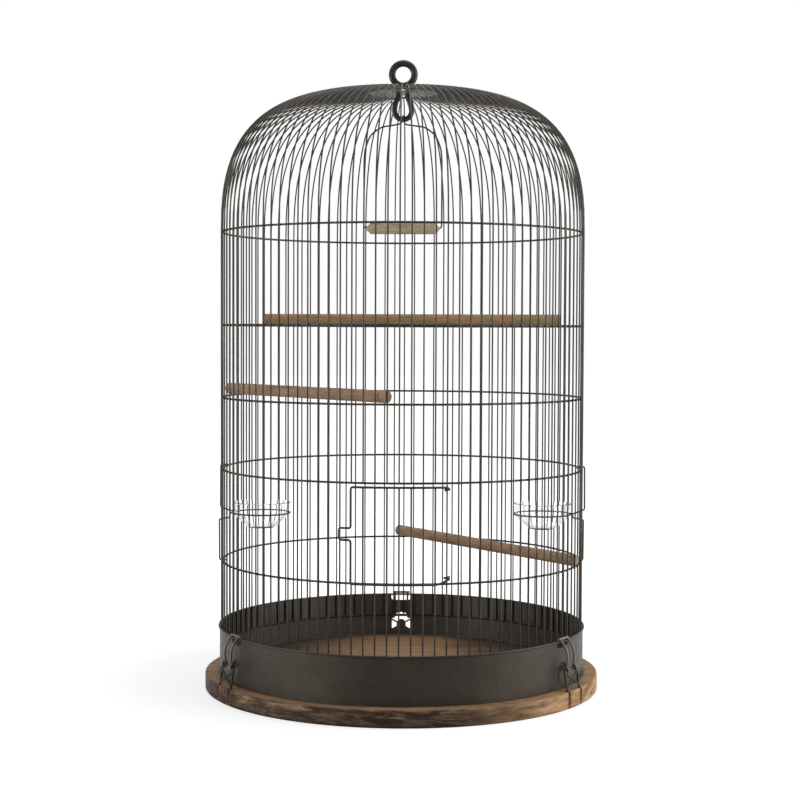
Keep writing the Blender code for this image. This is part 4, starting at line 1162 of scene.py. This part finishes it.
holder_end = [
    *ring_points[-2:],
    (return_radius, side_step, RING_CENTRE_HEIGHT),
    (return_radius, side_step, 0.2050),
    (bulge, side_step, 0.2030),
    (outside, side_step, foot_clasp),
    (inside, side_step, foot_clasp),
    (inside, side_step, foot_clasp + clasp),
]
holder_route = rounded(holder_start, HOLDER_BEND)[:-1] + ring_points[1:-1]
holder_route += rounded(holder_end, HOLDER_BEND)[1:]
right_holder = bend_wire("right_bowl_holder", holder_route, HOLDER_RADIUS)
left_holder = turned_copy(right_holder, "left_bowl_holder", at_azimuth(pi))
dressed(right_holder, WIRE, "cage", "wire", "bowl_holder_right")
dressed(left_holder, WIRE, "cage", "wire", "bowl_holder_left")

# %% [markdown]
# The glass is drawn as steps from three known places: the rim's edge, the neck that sits in the ring, and
# the foot. The outside and the inside are spun apart, and their rims are then bridged.

# %% Spin a bowl
RIM_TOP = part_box("glass_bowl_right")[1].z
FOOT_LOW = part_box("glass_bowl_right")[0].z
BOWL_RIM = (0.0352, RIM_TOP)
BOWL_NECK = (NECK_RADIUS, RING_CENTRE_HEIGHT)
BOWL_FOOT = (0.0165, FOOT_LOW)


def steps_from(place, *steps):
    """Points of a section, given in tenths of a millimetre outwards and upwards from a place."""
    return [(place[0] + out / 10000, place[1] + up / 10000) for out, up in steps]


outer_side = steps_from(BOWL_RIM, (-10, 0), (-3, -3), (0, -10), (-3, -20), (-9, -60))
outer_side += steps_from(BOWL_NECK, (0, 0), (-4, -24), (-16, -44), (-68, -92), (-120, -138), (-158, -170))
outer_side += steps_from(BOWL_FOOT, (0, 4), (-6, 0)) + [(0.0, FOOT_LOW)]
inner_side = [(0.0, FOOT_LOW + 0.0020)] + steps_from(BOWL_FOOT, (-12, 20), (-2, 26))
inner_side += steps_from(BOWL_NECK, (-134, -124), (-82, -78), (-32, -32), (-21, -12), (-17, 10))
inner_side += steps_from(BOWL_RIM, (-25, -40), (-21, -8), (-17, 0))
bowl_outside = spun("right_bowl", outer_side, 48)
bowl = joined("right_bowl", [spun("bowl_inside", inner_side, 48), bowl_outside])
bpy.ops.object.mode_set(mode="EDIT")
bpy.ops.mesh.select_all(action="DESELECT")
bpy.ops.mesh.select_mode(type="EDGE")
bpy.ops.mesh.select_non_manifold()
bpy.ops.mesh.bridge_edge_loops()
bpy.ops.mesh.select_mode(type="VERT")
bpy.ops.object.mode_set(mode="OBJECT")
smoothed(cleaned(bowl), 40)
left_bowl = turned_copy(bowl, "left_bowl", Matrix.Translation((-BOWL_DISTANCE, 0, 0)))
moved(bowl, Matrix.Translation((BOWL_DISTANCE, 0, 0)))
dressed(bowl, GLASS, "bowl_right", "glass", "glass_bowl_right")
dressed(left_bowl, GLASS, "bowl_left", "glass", "glass_bowl_left")

# %% [markdown]
# ## The latches
# Each latch is two bent wires. The anchor has its toes in the board, two legs, a crossbar and a crossed
# brace. The loop is coiled round the crossbar, bulges outwards like a spring and ends in a bar that sits
# on the skirt's rim. Both are modelled once at the front and turned to the three places.

# %% Bend the anchor
BRACE_RADIUS = 0.0011
BRACE_LOW = 0.38
BRACE_HIGH = 0.88
BRACE_BOW = 0.0005
leg_edge = BOARD_TOP / 2
anchor_half = [
    (HALF_ANCHOR, -CROSSBAR_RADIUS, CROSSBAR_HEIGHT),
    (HALF_ANCHOR, -LEG_RADIUS, leg_edge),
    (HALF_ANCHOR, -LEG_RADIUS, TOE_HEIGHT),
    (HALF_ANCHOR, -TOE_RADIUS, TOE_HEIGHT),
]
anchor_route = [(-x, y, z) for x, y, z in reversed(anchor_half)] + anchor_half
anchor_wires = [bend_wire("anchor_legs", rounded(anchor_route, 0.0020), LATCH_WIRE_RADIUS, 10)]


def leg_point(side, share, ahead):
    """A point on a leg, from the board's middle (0) to the crossbar (1)."""
    low = Vector((side * HALF_ANCHOR, -LEG_RADIUS, leg_edge))
    high = Vector((side * HALF_ANCHOR, -CROSSBAR_RADIUS, CROSSBAR_HEIGHT))
    return low.lerp(high, share) + Vector((0, -ahead, 0))


for side, ahead in ((-1, 0.0), (1, 0.0008)):
    start, end = leg_point(side, BRACE_LOW, ahead), leg_point(-side, BRACE_HIGH, ahead)
    brace = [start, (start + end) / 2 - Vector((0, BRACE_BOW, 0)), end]
    anchor_wires.append(bend_wire("brace", brace, BRACE_RADIUS))
anchor = joined("anchor", anchor_wires)
for label, azimuth in LATCH_AZIMUTHS.items():
    latch_anchor = turned_copy(anchor, label + "_latch_anchor", at_azimuth(azimuth))
    dressed(latch_anchor, LATCH_WIRE, "cage", "wire", "latch_anchor_" + label)
bpy.data.objects.remove(anchor)

# %% Bend the sprung loop
HOOK_HALF_WIDTH = 0.0085
HOOK_BAR_HALF = 0.0115
HOOK_BAR_RADIUS = 0.0014
HOOK_BULGE = 0.0052
SPRING_STEPS = 12
COIL_TURNS = 1.5
COIL_RADIUS = 2 * LATCH_WIRE_RADIUS + SEAT_GAP
hook_height = RIM_HEIGHT + RIM_WIRE_RADIUS + SEAT_GAP + HOOK_BAR_RADIUS
hook_top = Vector((0, -(SKIRT_INNER + HOOK_BAR_RADIUS), hook_height))
pivot = Vector((0, -CROSSBAR_RADIUS, CROSSBAR_HEIGHT))
rise = hook_top - pivot
bulge_way = Vector((0, -rise.z, rise.y)).normalized() * HOOK_BULGE
bar_ends = [hook_top + Vector((side * HOOK_BAR_HALF, 0, 0)) for side in (-1, 1)]
hook_wires = [bend_wire("hook_bar", bar_ends, HOOK_BAR_RADIUS, 12)]
for side in (-1, 1):
    across = Vector((side * HOOK_HALF_WIDTH, 0, 0))
    coil = helix(pivot + across, (side, 0, 0), rise, COIL_RADIUS, COIL_PITCH * LATCH_WIRE_RADIUS, COIL_TURNS)
    spring = []
    for step in range(1, SPRING_STEPS + 1):
        part = step / SPRING_STEPS
        spring.append(coil[0].lerp(hook_top + across, part) + bulge_way * 4 * part * (1 - part))
    hook_wires.append(bend_wire("hook_side", coil[::-1] + spring, LATCH_WIRE_RADIUS))
hook = joined("hook", hook_wires)
for label, azimuth in LATCH_AZIMUTHS.items():
    latch_loop = turned_copy(hook, label + "_latch_loop", at_azimuth(azimuth))
    dressed(latch_loop, PALE_METAL, "latch_" + label, "wire", "latch_hook_" + label)
bpy.data.objects.remove(hook)

# %% [markdown]
# ## Floor, light and camera
# The cage stands on a plain white floor in a white room. Both shine by themselves to the camera, and in
# mirrors and glass, but they send little of that light to the cage. The floor's own shine stops short of
# white near the cage, so that the cage's soft shadow still shows on it. The front of a studio is dark, and
# metal shows that too, so its middle is darker than its sides. Large lamps do the rest. The low one at the
# right is the strongest, a weaker one stands at the left, and a wide one hangs overhead.

# %% Floor and world
FRONT_SHINE = 0.20
WORLD_LIGHT = 0.12
FLOOR_SHINE_NEAR = 0.66


def seen_directly(direction):
    """1 for a ray from the camera or through glass, 0 for soft light. Metal sees less of it at the front."""
    rays = direction.id_data.nodes.new("ShaderNodeLightPath").outputs
    mirrored = ranged(along_axis(direction, "Y"), FRONT_SHINE, 1.0, -1.0, -0.15)
    mirrored = calculated("MULTIPLY", rays["Is Glossy Ray"], mirrored)
    seen = calculated("MAXIMUM", rays["Is Camera Ray"], rays["Is Transmission Ray"])
    return calculated("MAXIMUM", seen, mirrored)


floor = added(bpy.ops.mesh.primitive_plane_add, size=30)
floor.name = "white_floor"
floor_paint, floor_tree, floor_shader = new_material("white_floor")
floor_place = object_place(floor_tree)
floor_glow = ranged(from_axis(floor_place), FLOOR_SHINE_NEAR, 1.0, 0.30, 1.1)
floor_way = new_node("ShaderNodeVectorMath", {0: floor_place}, "NORMALIZE").outputs["Vector"]
fill(
    floor_shader,
    {
        "Base Color": (0.50, 0.50, 0.50),
        "Roughness": 1.0,
        "Specular IOR Level": 0.0,
        "Emission Color": (1, 1, 1),
        "Emission Strength": calculated("MULTIPLY", floor_glow, seen_directly(floor_way)),
    },
)
floor.data.materials.append(floor_paint)

world = bpy.data.worlds.new("studio")
bpy.context.scene.world = world
world.use_nodes = True
world_way = world.node_tree.nodes.new("ShaderNodeTexCoord").outputs["Generated"]
world_shine = ranged(seen_directly(world_way), WORLD_LIGHT, 1.0)
fill(world.node_tree.nodes["Background"], {"Color": (1, 1, 1), "Strength": world_shine})
print("floor nodes:", len(floor_tree.nodes), "world nodes:", len(world.node_tree.nodes))


# %% Lamps
def soft_lamp(name, place, power, size, target):
    """A square lamp that faces a target."""
    lamp = added(bpy.ops.object.light_add, type="AREA", location=place)
    lamp.name = name
    lamp.data.energy = power
    lamp.data.size = size
    lamp.rotation_euler = (Vector(target) - Vector(place)).to_track_quat("-Z", "Y").to_euler()


soft_lamp("overhead", (0.1, 0.2, 2.6), 26, 1.6, (0, 0, 0.3))
soft_lamp("right_side", (2.0, -0.45, 0.50), 58, 2.0, (0, 0, 0.25))
soft_lamp("left_side", (-1.8, -1.10, 0.50), 28, 1.2, (0, 0, 0.25))

# %% Camera
CAMERA_DISTANCE = 2.0454
CAMERA_HEIGHT = 0.4322
CAMERA_SHIFT = -0.0026
CAMERA_AZIMUTH = 0.83
CAMERA_PITCH = 2.309
CAMERA_ROLL = -0.210
FOCAL_LENGTH = 75.11
camera = added(bpy.ops.object.camera_add)
camera.data.lens = FOCAL_LENGTH
camera.data.sensor_width = 36
camera.data.clip_end = 50
camera.matrix_world = (
    Matrix.Rotation(radians(CAMERA_AZIMUTH), 4, "Z")
    @ Matrix.Translation((CAMERA_SHIFT, -CAMERA_DISTANCE, CAMERA_HEIGHT))
    @ Matrix.Rotation(radians(90 - CAMERA_PITCH), 4, "X")
    @ Matrix.Rotation(radians(-CAMERA_ROLL), 4, "Z")
)
bpy.context.scene.camera = camera
bpy.context.scene.view_settings.view_transform = "Standard"
